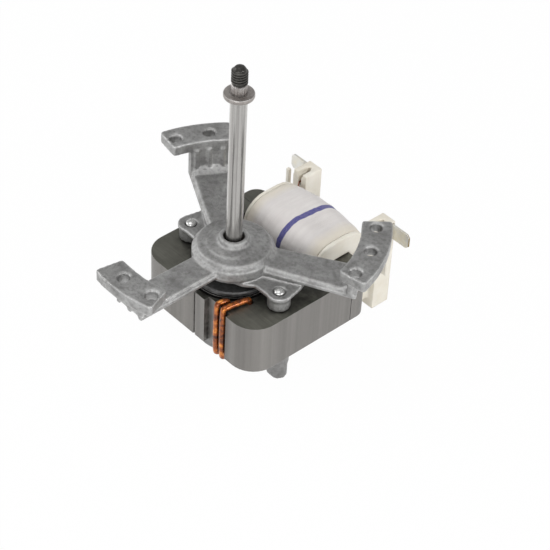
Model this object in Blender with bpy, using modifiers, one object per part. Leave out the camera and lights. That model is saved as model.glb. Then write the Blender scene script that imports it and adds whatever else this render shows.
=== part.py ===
# Oven fan motor: a shaded-pole motor with a three-armed cast bracket and a long threaded fan shaft.
# The origin is on the shaft's axis, at the flat end of the rear bearing cup. +Z runs up the shaft,
# +Y points to the coil, and all lengths are in metres.

import math

import bmesh
import bpy
from mathutils import Matrix, Vector

MM = 0.001
WELD_DISTANCE = 0.0001 * MM

# Running and seating clearances
FACE_GAP = 0.3 * MM
PRESS_GAP = 0.2 * MM
RUNNING_GAP = 0.12 * MM
AIR_GAP = 0.5 * MM
OVERLAP = 0.4 * MM

# How many flat sides stand in for a round one, from holes and rivets up to the hub
SMALL_SIDES = 14
RING_SIDES = 24
LARGE_SIDES = 36
BORE_SIDES = 48

# Laminated core
CORE_WIDTH = 60.5 * MM
CORE_END_Y = 17.6 * MM
CORE_CORNER_RADIUS = 9.7 * MM
CORE_BOTTOM_Z = 11.5 * MM
STACK_HEIGHT = 20.0 * MM
LEG_CLEARANCE = 2.55 * MM
YOKE_NEAR_Y = 30.0 * MM
YOKE_DEPTH = 8.8 * MM
YOKE_CORNER_RADIUS = 5.0 * MM
RING_RECESS_START = 5.2 * MM
RING_RECESS_END = 16.6 * MM
RING_RECESS_DEPTH = 2.2 * MM
BRIDGE_GROOVE_WIDTH = 0.9 * MM
BRIDGE_GROOVE_DEPTH = 0.45 * MM

# Rotor and shaft
ROTOR_RADIUS = 15.3 * MM
ROTOR_LIFT = 0.8 * MM
ROTOR_BARS = 17
BAR_RADIUS = 1.0 * MM
BAR_SIDES = 6
BAR_CIRCLE_RADIUS = 13.2 * MM
END_RING_INNER_RADIUS = 8.0 * MM
END_RING_OUTER_RADIUS = 14.9 * MM
END_RING_HEIGHT = 1.5 * MM
SHAFT_RADIUS = 2.95 * MM
SHAFT_END_CLEARANCE = 0.5 * MM
COLLAR_RADIUS = 5.3 * MM
COLLAR_THICKNESS = 1.7 * MM
COLLAR_TOP_Z = 109.4 * MM
NECK_RADIUS = 2.75 * MM
NECK_LENGTH = 3.4 * MM
THREAD_RADIUS = 2.85 * MM
THREAD_LENGTH = 7.1 * MM
TIP_CHAMFER = 1.2 * MM

# Bearings and what holds them
BEARING_HEIGHT = 5.6 * MM
BEARING_RADIUS = 6.6 * MM
BEARING_END_RADIUS = 5.3 * MM
SOCKET_DEPTH = 5.0 * MM
FELT_BORE_RADIUS = 7.3 * MM
FELT_HEIGHT = 1.4 * MM
CLIP_BORE_RADIUS = 5.5 * MM
CLIP_THICKNESS = 0.5 * MM
CLIP_RISE = 0.6 * MM
CLIP_SLOTS = 8
CLIP_SLOT_WIDTH = 1.0 * MM
WELL_RADIUS = 10.6 * MM
WELL_DEPTH = 3.2 * MM
WASHER_RADIUS = 4.7 * MM
WASHER_THICKNESS = 0.6 * MM
SPACER_RADIUS = 4.3 * MM

# Front bracket
HUB_BODY_RADIUS = 14.8 * MM
HUB_BOTTOM_Z = 36.2 * MM
HUB_SKIRT_RADIUS = 12.6 * MM
HUB_SKIRT_Z = 38.5 * MM
HUB_BODY_TOP_Z = 43.2 * MM
HUB_DISC_RADIUS = 13.4 * MM
HUB_DISC_TOP_Z = 45.0 * MM
HUB_RING_RADIUS = 9.4 * MM
HUB_RING_HEIGHT = 1.1 * MM
HUB_BOSS_RADIUS = 5.3 * MM
HUB_BOSS_TOP_Z = 48.3 * MM
HUB_HOLE_RADIUS = 3.75 * MM
ARM_ANGLES = (270, 150, 30)
ARM_ROOT_WIDTH = 13.2 * MM
ARM_END_WIDTHS = (13.6 * MM, 15.6 * MM, 16.0 * MM)
ARM_TOP_Z = 42.3 * MM
ARM_THICKNESS = 3.0 * MM
ARM_SKIN = 1.7 * MM
ARM_RIB_WIDTH = 1.8 * MM
ARM_LEDGE_WIDTH = 1.0 * MM
ARM_LEDGE_DROP = 1.2 * MM
PLATE_INNER_RADIUS = 44.0 * MM
PLATE_WIDTH = 10.7 * MM
PLATE_TOP_Z = 56.1 * MM
PLATE_THICKNESS = 4.2 * MM
PLATE_SPANS = ((-9.3, 18.8), (-9.3, 18.8), (-18.6, 18.8))
PLATE_HOLE_STEPS = ((0, 15), (0, 15), (-15, 0, 15))
PLATE_CORNER_RADIUS = 1.2 * MM
RISER_THICKNESS = 2.6 * MM
RISER_RIBS = 3
RISER_RIB_WIDTH = 1.5 * MM
RISER_RIB_PROUD = 0.5 * MM
HOLE_INSET = 5.0 * MM
SCREW_HOLE_RADIUS = 2.2 * MM
COUNTERSINK_RADIUS = 3.1 * MM
COUNTERSINK_DEPTH = 0.6 * MM

# Ears, rivets and rear bracket
EAR_INSET = 6.55 * MM
EAR_Y = 0.5 * MM
EAR_RADIUS = 4.7 * MM
EAR_TOP_Z = 38.0 * MM
EAR_THICKNESS = 1.7 * MM
EAR_BOSS_RADIUS = 4.2 * MM
EAR_WEB_REACH = 28.0 * MM
EAR_WEB_ANGLES = (-30, -16, 17, 28, 40)
EAR_ARC_ANGLES = (-115, 25)
RIVET_RADIUS = 1.6 * MM
RIVET_HEAD_RADIUS = 1.95 * MM
RIVET_HEAD_HEIGHT = 1.1 * MM
RIVET_HEAD_STEPS = 3
RIVET_SEAT_RADIUS = 2.6 * MM
RIVET_SEAT_DEPTH = 0.5 * MM
FOOT_RADIUS = 3.2 * MM
FOOT_REACH = 1.6 * MM
FOOT_SEAT_DEPTH = 1.6 * MM
REAR_CUP_RADIUS = 8.8 * MM
REAR_CUP_FLOOR = 1.1 * MM
REAR_DISH_RADIUS = 12.6 * MM
REAR_DISH_BOTTOM_Z = 3.6 * MM
REAR_BRIDGE_ROOT_WIDTH = 13.0 * MM
REAR_BRIDGE_THICKNESS = 3.2 * MM
REAR_RIB_WIDTH = 2.0 * MM
REAR_RIB_HEIGHT = 1.6 * MM

# Coil and bobbin
COIL_HALF_LENGTH = 17.4 * MM
COIL_HALF_DEPTH = 14.3 * MM
COIL_HALF_HEIGHT = 20.3 * MM
COIL_CORNER_RADIUS = 10.0 * MM
COIL_END_DROP = 1.5 * MM
TAPE_THICKNESS = 0.8 * MM
BOBBIN_WALL = 1.2 * MM
CHEEK_THICKNESS = 1.6 * MM
CHEEK_INSET = 0.3 * MM
POST_INNER_X = 16.2 * MM
POST_OUTER_X = 22.8 * MM
POST_NEAR_Y = 49.6 * MM
POST_FAR_Y = 57.8 * MM
POST_BOTTOM_Z = 0.5 * MM
POST_TOP_Z = 38.8 * MM
POST_NOTCH_WIDTH = 1.1 * MM
POST_NOTCH_DEPTH = 5.9 * MM
POST_POCKET_WIDTH = 2.6 * MM
POST_POCKET_DEPTH = 1.8 * MM
POST_POCKET_LENGTH = 4.6 * MM
POST_WALL = 0.7 * MM
GUARD_THICKNESS = 1.4 * MM
GUARD_REACH = 4.6 * MM
GUARD_BOTTOM_Z = 19.5 * MM
GUARD_SLIT_Z = 29.0 * MM
GUARD_TOP_Z = 36.2 * MM
GUARD_FINGER = 1.8 * MM
BLADE_TIP_X = 31.2 * MM
BLADE_HEIGHT = 6.3 * MM
BLADE_THICKNESS = 0.8 * MM
BLADE_TOP_Z = 37.8 * MM
BLADE_Y = 56.6 * MM
BLADE_ROOT = 5.0 * MM
BLADE_HOLE_RADIUS = 0.85 * MM
BLADE_TAPER = 1.2 * MM
LEAD_RADIUS = 0.3 * MM

# Shading rings: the angle of each slot in the bore, and where the ring's outer leg lies
RING_WIRE_RADIUS = 1.25 * MM
RING_SLOT_ANGLES = (-46, -21)
RING_OUTER_XS = (10.9 * MM, 14.2 * MM)
RING_RISE = 1.6 * MM
RING_PROUD = 0.6 * MM
SLOT_MOUTH = 1.1 * MM

CORE_TOP_Z = CORE_BOTTOM_Z + STACK_HEIGHT
HALF_WIDTH = CORE_WIDTH / 2
LEG_INNER_X = COIL_HALF_LENGTH + CHEEK_THICKNESS + LEG_CLEARANCE
EAR_X = HALF_WIDTH - EAR_INSET
PLATE_OUTER_RADIUS = PLATE_INNER_RADIUS + PLATE_WIDTH
HOLE_CIRCLE_RADIUS = PLATE_INNER_RADIUS + HOLE_INSET
BORE_RADIUS = ROTOR_RADIUS + AIR_GAP
YOKE_FAR_Y = YOKE_NEAR_Y + YOKE_DEPTH
YOKE_MID_Y = (YOKE_NEAR_Y + YOKE_FAR_Y) / 2
CORE_MID_Z = CORE_BOTTOM_Z + STACK_HEIGHT / 2
ROTOR_BOTTOM_Z = CORE_BOTTOM_Z + ROTOR_LIFT
ROTOR_TOP_Z = CORE_TOP_Z + ROTOR_LIFT
HUB_WELL_TOP_Z = HUB_BOTTOM_Z + WELL_DEPTH
REAR_WELL_Z = REAR_CUP_FLOOR + SOCKET_DEPTH
SHAFT_END_Z = REAR_CUP_FLOOR + SHAFT_END_CLEARANCE
REAR_DISH_TOP_Z = REAR_WELL_Z + WELL_DEPTH
PLATE_BOTTOM_Z = PLATE_TOP_Z - PLATE_THICKNESS
ARM_BOTTOM_Z = ARM_TOP_Z - ARM_THICKNESS
ARM_SKIN_Z = ARM_TOP_Z - ARM_SKIN
NOTCH_X = (POST_INNER_X + POST_OUTER_X) / 2


def clear_scene():
    for thing in list(bpy.data.objects):
        bpy.data.objects.remove(thing, do_unlink=True)


def new_collection(name):
    made = bpy.data.collections.new(name)
    bpy.context.scene.collection.children.link(made)
    return made


def make_material(name, color, roughness, metallic=0.0):
    made = bpy.data.materials.new(name)
    made.use_nodes = True
    shader = made.node_tree.nodes["Principled BSDF"]
    shader.inputs["Base Color"].default_value = (*color, 1)
    shader.inputs["Roughness"].default_value = roughness
    shader.inputs["Metallic"].default_value = metallic
    made.diffuse_color = (*color, 1)
    return made


clear_scene()
parts = new_collection("oven_fan_motor")
cutters = new_collection("cutters")


def place(name, mesh, collection=None):
    thing = bpy.data.objects.new(name, mesh)
    (collection or parts).objects.link(thing)
    return thing


def finish(thing, material, smooth=True):
    """Gives a finished piece its own material and its shading."""
    thing.data.materials.clear()
    thing.data.materials.append(material)
    if smooth:
        thing.data.shade_smooth()
        thing.data.set_sharp_from_angle(angle=math.radians(32))
    return thing


def helper(thing):
    for owner in list(thing.users_collection):
        owner.objects.unlink(thing)
    cutters.objects.link(thing)
    thing.hide_render = True
    thing.display_type = "WIRE"
    return thing


def as_mesh(thing):
    """Replaces an object by the mesh that it evaluates to, with its caps welded."""
    bpy.context.view_layer.update()
    graph = bpy.context.evaluated_depsgraph_get()
    mesh = bpy.data.meshes.new_from_object(thing.evaluated_get(graph))
    shape = bmesh.new()
    shape.from_mesh(mesh)
    bmesh.ops.remove_doubles(shape, verts=shape.verts, dist=WELD_DISTANCE)
    bmesh.ops.recalc_face_normals(shape, faces=shape.faces)
    shape.to_mesh(mesh)
    shape.free()
    name, matrix = thing.name, thing.matrix_world.copy()
    owner = thing.users_collection[0]
    bpy.data.objects.remove(thing, do_unlink=True)
    made = place(name, mesh, owner)
    made.matrix_world = matrix
    return made


def combine(thing, others, operation):
    """Joins or cuts by Boolean modifiers, one for each helper."""
    for other in others:
        helper(other)
        step = thing.modifiers.new(operation.lower() + "_" + other.name, "BOOLEAN")
        step.operation = operation
        step.solver = "EXACT"
        step.object = other
    return as_mesh(thing)


def arc(center, radius, start, end, steps):
    """Points on an arc, angles in degrees."""
    found = []
    for step in range(steps + 1):
        angle = math.radians(start + (end - start) * step / steps)
        found.append((center[0] + radius * math.cos(angle), center[1] + radius * math.sin(angle)))
    return found


def circle(center, radius, steps):
    return arc(center, radius, 0, 360 - 360 / steps, steps - 1)


def rounded_box(half_x, half_y, radius, steps=5, center=(0, 0)):
    found = []
    for sign_x, sign_y, start in ((1, 1, 0), (-1, 1, 90), (-1, -1, 180), (1, -1, 270)):
        middle = (center[0] + sign_x * (half_x - radius), center[1] + sign_y * (half_y - radius))
        found += arc(middle, radius, start, start + 90, steps)
    return found


def slab(name, outlines, bottom, top):
    """A flat piece from a filled 2D curve: the first outline is the rim and the others are holes."""
    data = bpy.data.curves.new(name, "CURVE")
    data.dimensions = "2D"
    data.fill_mode = "BOTH"
    data.extrude = (top - bottom) / 2
    for outline in outlines:
        spline = data.splines.new("POLY")
        spline.points.add(len(outline) - 1)
        for point, (x, y) in zip(spline.points, outline):
            point.co = (x, y, 0, 1)
        spline.use_cyclic_u = True
    thing = place(name, data)
    thing.location.z = (top + bottom) / 2
    return as_mesh(thing)


def turned(name, profile, steps):
    """A turned piece about Z: the profile runs down the outer side and up the inner side."""
    mesh = bpy.data.meshes.new(name)
    shape = bmesh.new()
    verts = [shape.verts.new((radius, 0, height)) for radius, height in profile]
    for first, second in zip(verts, verts[1:]):
        shape.edges.new((first, second))
    if profile[0][0] > 0 and profile[-1][0] > 0:
        shape.edges.new((verts[-1], verts[0]))
    shape.to_mesh(mesh)
    shape.free()
    thing = place(name, mesh)
    spin = thing.modifiers.new("spin", "SCREW")
    spin.axis = "Z"
    spin.steps = steps
    spin.render_steps = steps
    spin.use_merge_vertices = True
    spin.merge_threshold = 1e-6
    return as_mesh(thing)


def cylinder(name, radius, bottom, top, steps, center):
    shape = bmesh.new()
    bmesh.ops.create_cone(
        shape,
        cap_ends=True,
        segments=steps,
        radius1=radius,
        radius2=radius,
        depth=top - bottom,
        matrix=Matrix.Translation((center[0], center[1], (top + bottom) / 2)),
    )
    mesh = bpy.data.meshes.new(name)
    shape.to_mesh(mesh)
    shape.free()
    return place(name, mesh)


def block(name, low, high):
    shape = bmesh.new()
    size = [b - a for a, b in zip(low, high)]
    middle = [(a + b) / 2 for a, b in zip(low, high)]
    matrix = Matrix.Translation(middle) @ Matrix.Diagonal((*size, 1))
    bmesh.ops.create_cube(shape, size=1, matrix=matrix)
    mesh = bpy.data.meshes.new(name)
    shape.to_mesh(mesh)
    shape.free()
    return place(name, mesh)


def turn_mesh(thing, degrees, offset=(0, 0, 0)):
    """Turns a piece's mesh about Z and then moves it."""
    thing.data.transform(Matrix.Translation(offset) @ Matrix.Rotation(math.radians(degrees), 4, "Z"))
    return thing


def tube(name, points, radius, closed=False, resolution=2):
    data = bpy.data.curves.new(name, "CURVE")
    data.dimensions = "3D"
    data.bevel_depth = radius
    data.bevel_resolution = resolution
    data.use_fill_caps = not closed
    spline = data.splines.new("POLY")
    spline.points.add(len(points) - 1)
    for point, place_at in zip(spline.points, points):
        point.co = (*place_at, 1)
    spline.use_cyclic_u = closed
    return as_mesh(place(name, data))


def polar(radius, degrees, height=None):
    angle = math.radians(degrees)
    flat = (radius * math.cos(angle), radius * math.sin(angle))
    return flat if height is None else (*flat, height)


def half_turn(points):
    """The same places on the other pole, across the shaft."""
    return [(-point[0], -point[1], *point[2:]) for point in points]


# Stator core

def ring_slot_places():
    slot_circle = BORE_RADIUS + RING_WIRE_RADIUS + PRESS_GAP
    return [polar(slot_circle, angle) for angle in RING_SLOT_ANGLES]


def build_stator_frame():
    leg_x = LEG_INNER_X
    corner = CORE_CORNER_RADIUS
    outline = [(-HALF_WIDTH, YOKE_NEAR_Y)]
    outline += arc((-HALF_WIDTH + corner, -CORE_END_Y + corner), corner, 180, 270, 9)
    outline += arc((HALF_WIDTH - corner, -CORE_END_Y + corner), corner, 270, 360, 9)
    outline += [(HALF_WIDTH, YOKE_NEAR_Y), (leg_x, YOKE_NEAR_Y), (leg_x, CORE_END_Y)]
    outline += [(-leg_x, CORE_END_Y), (-leg_x, YOKE_NEAR_Y)]
    bore = circle((0, 0), BORE_RADIUS, BORE_SIDES)
    rivets = [circle((side * EAR_X, EAR_Y), RIVET_RADIUS + PRESS_GAP, SMALL_SIDES) for side in (1, -1)]
    frame = slab("stator_frame", [outline, bore, *rivets], CORE_BOTTOM_Z, CORE_TOP_Z)

    low, high = CORE_BOTTOM_Z - OVERLAP, CORE_TOP_Z + OVERLAP
    cuts = []
    for pole, turn in (("near", 0), ("far", 180)):
        recess = block(
            f"ring_recess_{pole}",
            (RING_RECESS_START, -CORE_END_Y - OVERLAP, low),
            (RING_RECESS_END, -CORE_END_Y + RING_RECESS_DEPTH, high),
        )
        cuts.append(turn_mesh(recess, turn))
        groove = block(
            f"bridge_groove_{pole}",
            (-BRIDGE_GROOVE_WIDTH / 2, -CORE_END_Y - OVERLAP, low),
            (BRIDGE_GROOVE_WIDTH / 2, -CORE_END_Y + BRIDGE_GROOVE_DEPTH, high),
        )
        cuts.append(turn_mesh(groove, turn))
        for number, place_at in enumerate(ring_slot_places()):
            radius = RING_WIRE_RADIUS + PRESS_GAP
            slot = cylinder(f"ring_slot_{pole}_{number}", radius, low, high, SMALL_SIDES, place_at)
            cuts.append(turn_mesh(slot, turn))
            mouth = block(
                f"slot_mouth_{pole}_{number}",
                (BORE_RADIUS - 1.0 * MM, -SLOT_MOUTH / 2, low),
                (BORE_RADIUS + RING_WIRE_RADIUS, SLOT_MOUTH / 2, high),
            )
            cuts.append(turn_mesh(mouth, turn + RING_SLOT_ANGLES[number]))
    return finish(combine(frame, cuts, "DIFFERENCE"), CORE_STEEL)


def build_stator_yoke():
    radius = YOKE_CORNER_RADIUS
    near = YOKE_NEAR_Y + FACE_GAP
    outline = [(-HALF_WIDTH, near), (HALF_WIDTH, near)]
    outline += arc((HALF_WIDTH - radius, YOKE_FAR_Y - radius), radius, 0, 90, 6)
    outline += arc((-HALF_WIDTH + radius, YOKE_FAR_Y - radius), radius, 90, 180, 6)
    return finish(slab("stator_yoke", [outline], CORE_BOTTOM_Z, CORE_TOP_Z), CORE_STEEL)


def build_shading_rings():
    """Two short-circuit rings on each pole: one leg in a bore slot, one in the recess outside."""
    leg_y = -CORE_END_Y + RING_WIRE_RADIUS - RING_PROUD
    for number, (inner, outer_x) in enumerate(zip(ring_slot_places(), RING_OUTER_XS)):
        inner_leg, outer_leg = Vector(inner), Vector((outer_x, leg_y))
        top, bottom = CORE_TOP_Z + RING_RISE, CORE_BOTTOM_Z - RING_RISE
        bend = 1.3 * MM
        along = (outer_leg - inner_leg).normalized() * bend
        loop = []
        for leg, step, ends in (
            (inner_leg, along, (bottom, top)),
            (outer_leg, -along, (top, bottom)),
        ):
            first, last = ends
            turn = bend if last > first else -bend
            corners = [
                (leg + step, first),
                (leg + step * 0.3, first + turn * 0.3),
                (leg, first + turn),
                (leg, last - turn),
                (leg + step * 0.3, last - turn * 0.3),
                (leg + step, last),
            ]
            loop += [(point.x, point.y, height) for point, height in corners]
        for pole, points in (("near", loop), ("far", half_turn(loop))):
            name = f"shading_ring_{pole}_{'inner' if number == 0 else 'outer'}"
            finish(tube(name, points, RING_WIRE_RADIUS, closed=True), COPPER)


# Rotor and shaft

def build_rotor():
    hole = SHAFT_RADIUS + PRESS_GAP
    slots = []
    for bar in range(ROTOR_BARS):
        center = polar(BAR_CIRCLE_RADIUS, 360 * bar / ROTOR_BARS)
        slots.append(circle(center, BAR_RADIUS + PRESS_GAP, BAR_SIDES))
    rim = circle((0, 0), ROTOR_RADIUS, BORE_SIDES)
    hub = circle((0, 0), hole, RING_SIDES)
    stack = slab("rotor_stack", [rim, hub, *slots], ROTOR_BOTTOM_Z, ROTOR_TOP_Z)
    finish(stack, ROTOR_STEEL)

    rings = []
    top_base = ROTOR_TOP_Z + FACE_GAP
    bottom_base = ROTOR_BOTTOM_Z - FACE_GAP
    edge = 0.4 * MM
    for base, away in ((top_base, 1), (bottom_base, -1)):
        end = base + away * END_RING_HEIGHT
        profile = [
            (END_RING_INNER_RADIUS, base),
            (END_RING_INNER_RADIUS, end),
            (END_RING_OUTER_RADIUS - edge, end),
            (END_RING_OUTER_RADIUS, end - away * edge),
            (END_RING_OUTER_RADIUS, base),
        ]
        if away < 0:
            profile.reverse()
        rings.append(turned("rotor_cage" if away > 0 else "cage_rear_ring", profile, LARGE_SIDES))
    bars = []
    for bar in range(ROTOR_BARS):
        center = polar(BAR_CIRCLE_RADIUS, 360 * bar / ROTOR_BARS)
        bars.append(
            cylinder(f"cage_bar_{bar}", BAR_RADIUS, bottom_base - OVERLAP, top_base + OVERLAP, BAR_SIDES, center)
        )
    finish(combine(rings[0], [rings[1], *bars], "UNION"), CAGE_ALUMINIUM)


def build_shaft():
    collar_bottom = COLLAR_TOP_Z - COLLAR_THICKNESS
    neck_top = COLLAR_TOP_Z + NECK_LENGTH
    tip = neck_top + THREAD_LENGTH
    edge = 0.35 * MM
    profile = [
        (0, tip),
        (THREAD_RADIUS * 0.55, tip - TIP_CHAMFER * 0.15),
        (THREAD_RADIUS * 0.85, tip - TIP_CHAMFER * 0.5),
        (THREAD_RADIUS, tip - TIP_CHAMFER),
        (THREAD_RADIUS, neck_top + edge),
        (NECK_RADIUS, neck_top),
        (NECK_RADIUS, COLLAR_TOP_Z),
        (COLLAR_RADIUS - edge, COLLAR_TOP_Z),
        (COLLAR_RADIUS, COLLAR_TOP_Z - edge),
        (COLLAR_RADIUS, collar_bottom + edge),
        (COLLAR_RADIUS - edge, collar_bottom),
        (SHAFT_RADIUS, collar_bottom),
        (SHAFT_RADIUS, SHAFT_END_Z + edge),
        (SHAFT_RADIUS - edge, SHAFT_END_Z),
        (0, SHAFT_END_Z),
    ]
    return finish(turned("shaft", profile, RING_SIDES), SHAFT_STEEL)


def build_bearing_set(place_name, socket_open_z, up):
    """A barrel bearing, its felt and clip, and the washer and spacer that turn with the shaft.

    socket_open_z is where the bearing's socket meets the well, and up is 1 when the socket is above."""
    def heights(*offsets):
        return [socket_open_z + up * offset for offset in offsets]

    inner = SHAFT_RADIUS + RUNNING_GAP
    near_face = SOCKET_DEPTH - FACE_GAP - BEARING_HEIGHT
    rows = (0.0, 0.25, 0.5, 0.75, 1.0)
    bulge = BEARING_RADIUS - BEARING_END_RADIUS
    profile = []
    for row in rows:
        height = heights(near_face + BEARING_HEIGHT * row)[0]
        profile.append((BEARING_END_RADIUS + bulge * math.sin(math.pi * row) ** 0.6, height))
    profile += [(inner, profile[-1][1]), (inner, profile[0][1])]
    finish(upright(f"{place_name}_bearing", profile, up), BRONZE)

    felt_top, felt_bottom = heights(-FACE_GAP, -FACE_GAP - FELT_HEIGHT)
    outer = WELL_RADIUS - PRESS_GAP
    profile = [(FELT_BORE_RADIUS, felt_bottom), (outer, felt_bottom), (outer, felt_top), (FELT_BORE_RADIUS, felt_top)]
    finish(upright(f"{place_name}_oil_felt", profile, up), FELT)

    clip_far = -2 * FACE_GAP - FELT_HEIGHT - CLIP_THICKNESS
    rim_low, rim_high, lip_low, lip_high = heights(
        clip_far, clip_far + CLIP_THICKNESS, clip_far + CLIP_RISE, clip_far + CLIP_RISE + CLIP_THICKNESS
    )
    knee = FELT_BORE_RADIUS
    profile = [
        (CLIP_BORE_RADIUS, lip_low),
        (knee, rim_low),
        (outer, rim_low),
        (outer, rim_high),
        (knee, rim_high),
        (CLIP_BORE_RADIUS, lip_high),
    ]
    clip = upright(f"{place_name}_bearing_clip", profile, up)
    slots = []
    low, high = sorted(heights(clip_far - MM, clip_far + CLIP_RISE + CLIP_THICKNESS + MM))
    for slot in range(CLIP_SLOTS):
        cut = block(
            f"{place_name}_clip_slot_{slot}",
            (CLIP_BORE_RADIUS - MM, -CLIP_SLOT_WIDTH / 2, low),
            (FELT_BORE_RADIUS + MM, CLIP_SLOT_WIDTH / 2, high),
        )
        slots.append(turn_mesh(cut, 360 * (slot + 0.5) / CLIP_SLOTS))
    finish(combine(clip, slots, "DIFFERENCE"), SPRING_STEEL)

    washer_near = near_face - FACE_GAP
    top, bottom = heights(washer_near, washer_near - WASHER_THICKNESS)
    hole = SHAFT_RADIUS + PRESS_GAP
    profile = [(hole, bottom), (WASHER_RADIUS, bottom), (WASHER_RADIUS, top), (hole, top)]
    finish(upright(f"{place_name}_thrust_washer", profile, up), WASHER_FIBRE)

    spacer_top = bottom - up * FACE_GAP
    stack_end = (ROTOR_TOP_Z if up > 0 else ROTOR_BOTTOM_Z) + up * FACE_GAP
    profile = [(hole, stack_end), (SPACER_RADIUS, stack_end), (SPACER_RADIUS, spacer_top), (hole, spacer_top)]
    finish(upright(f"{place_name}_shaft_spacer", profile, up), SPACER_STEEL)


def upright(name, profile, up):
    """Turns a profile that is drawn from the well outwards, on either side of the rotor."""
    return turned(name, profile[::-1] if up > 0 else profile, RING_SIDES)


# Front bracket

def build_front_bracket():
    step = 0.5 * MM
    hub = turned(
        "front_bracket",
        [
            (0, HUB_BOSS_TOP_Z),
            (HUB_BOSS_RADIUS - step, HUB_BOSS_TOP_Z),
            (HUB_BOSS_RADIUS, HUB_BOSS_TOP_Z - step),
            (HUB_BOSS_RADIUS + step, HUB_DISC_TOP_Z + HUB_RING_HEIGHT),
            (HUB_RING_RADIUS, HUB_DISC_TOP_Z + HUB_RING_HEIGHT - 0.3 * MM),
            (HUB_RING_RADIUS + step, HUB_DISC_TOP_Z + 0.1 * MM),
            (HUB_DISC_RADIUS - step, HUB_DISC_TOP_Z),
            (HUB_DISC_RADIUS, HUB_DISC_TOP_Z - step),
            (HUB_DISC_RADIUS + 0.1 * MM, HUB_BODY_TOP_Z + step),
            (HUB_BODY_RADIUS - step, HUB_BODY_TOP_Z),
            (HUB_BODY_RADIUS, HUB_BODY_TOP_Z - step),
            (HUB_BODY_RADIUS, HUB_SKIRT_Z + step),
            (HUB_BODY_RADIUS - step, HUB_SKIRT_Z),
            (HUB_SKIRT_RADIUS, HUB_SKIRT_Z),
            (HUB_SKIRT_RADIUS, HUB_BOTTOM_Z),
            (0, HUB_BOTTOM_Z),
        ],
        LARGE_SIDES,
    )
    joined = []
    holes = []
    for number, angle in enumerate(ARM_ANGLES):
        joined += arm_pieces(number, angle)
        holes += arm_pockets(number, angle)
        for step_angle in PLATE_HOLE_STEPS[number]:
            hole = turned(
                f"screw_hole_{number}_{step_angle}",
                [
                    (0, PLATE_TOP_Z + OVERLAP),
                    (COUNTERSINK_RADIUS + OVERLAP, PLATE_TOP_Z + OVERLAP),
                    (SCREW_HOLE_RADIUS, PLATE_TOP_Z - COUNTERSINK_DEPTH),
                    (SCREW_HOLE_RADIUS, PLATE_BOTTOM_Z - OVERLAP),
                    (0, PLATE_BOTTOM_Z - OVERLAP),
                ],
                RING_SIDES,
            )
            holes.append(turn_mesh(hole, 0, (*polar(HOLE_CIRCLE_RADIUS, angle + step_angle), 0)))
    for side in (1, -1):
        joined += [ear_web(side), ear_wall(side)]
        place_at = (side * EAR_X, EAR_Y)
        boss_top = EAR_TOP_Z - OVERLAP
        joined.append(
            cylinder(f"ear_boss_{side}", EAR_BOSS_RADIUS, CORE_TOP_Z + FACE_GAP, boss_top, SMALL_SIDES, place_at)
        )
        rivet_hole = turned(
            f"front_rivet_hole_{side}",
            [
                (0, EAR_TOP_Z + OVERLAP),
                (RIVET_SEAT_RADIUS, EAR_TOP_Z + OVERLAP),
                (RIVET_SEAT_RADIUS, EAR_TOP_Z - RIVET_SEAT_DEPTH),
                (RIVET_RADIUS + PRESS_GAP, EAR_TOP_Z - RIVET_SEAT_DEPTH),
                (RIVET_RADIUS + PRESS_GAP, CORE_TOP_Z - OVERLAP),
                (0, CORE_TOP_Z - OVERLAP),
            ],
            SMALL_SIDES,
        )
        holes.append(turn_mesh(rivet_hole, 0, (*place_at, 0)))
    bracket = combine(hub, joined, "UNION")
    well = turned(
        "bearing_well",
        [
            (0, HUB_BOSS_TOP_Z + OVERLAP),
            (HUB_HOLE_RADIUS, HUB_BOSS_TOP_Z + OVERLAP),
            (HUB_HOLE_RADIUS, HUB_WELL_TOP_Z + SOCKET_DEPTH),
            (BEARING_RADIUS + PRESS_GAP, HUB_WELL_TOP_Z + SOCKET_DEPTH),
            (BEARING_RADIUS + PRESS_GAP, HUB_WELL_TOP_Z),
            (WELL_RADIUS, HUB_WELL_TOP_Z),
            (WELL_RADIUS, EAR_TOP_Z - EAR_THICKNESS - OVERLAP),
            (0, EAR_TOP_Z - EAR_THICKNESS - OVERLAP),
        ],
        RING_SIDES,
    )
    return finish(combine(bracket, [well, *holes], "DIFFERENCE"), CAST_ALUMINIUM)


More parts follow.
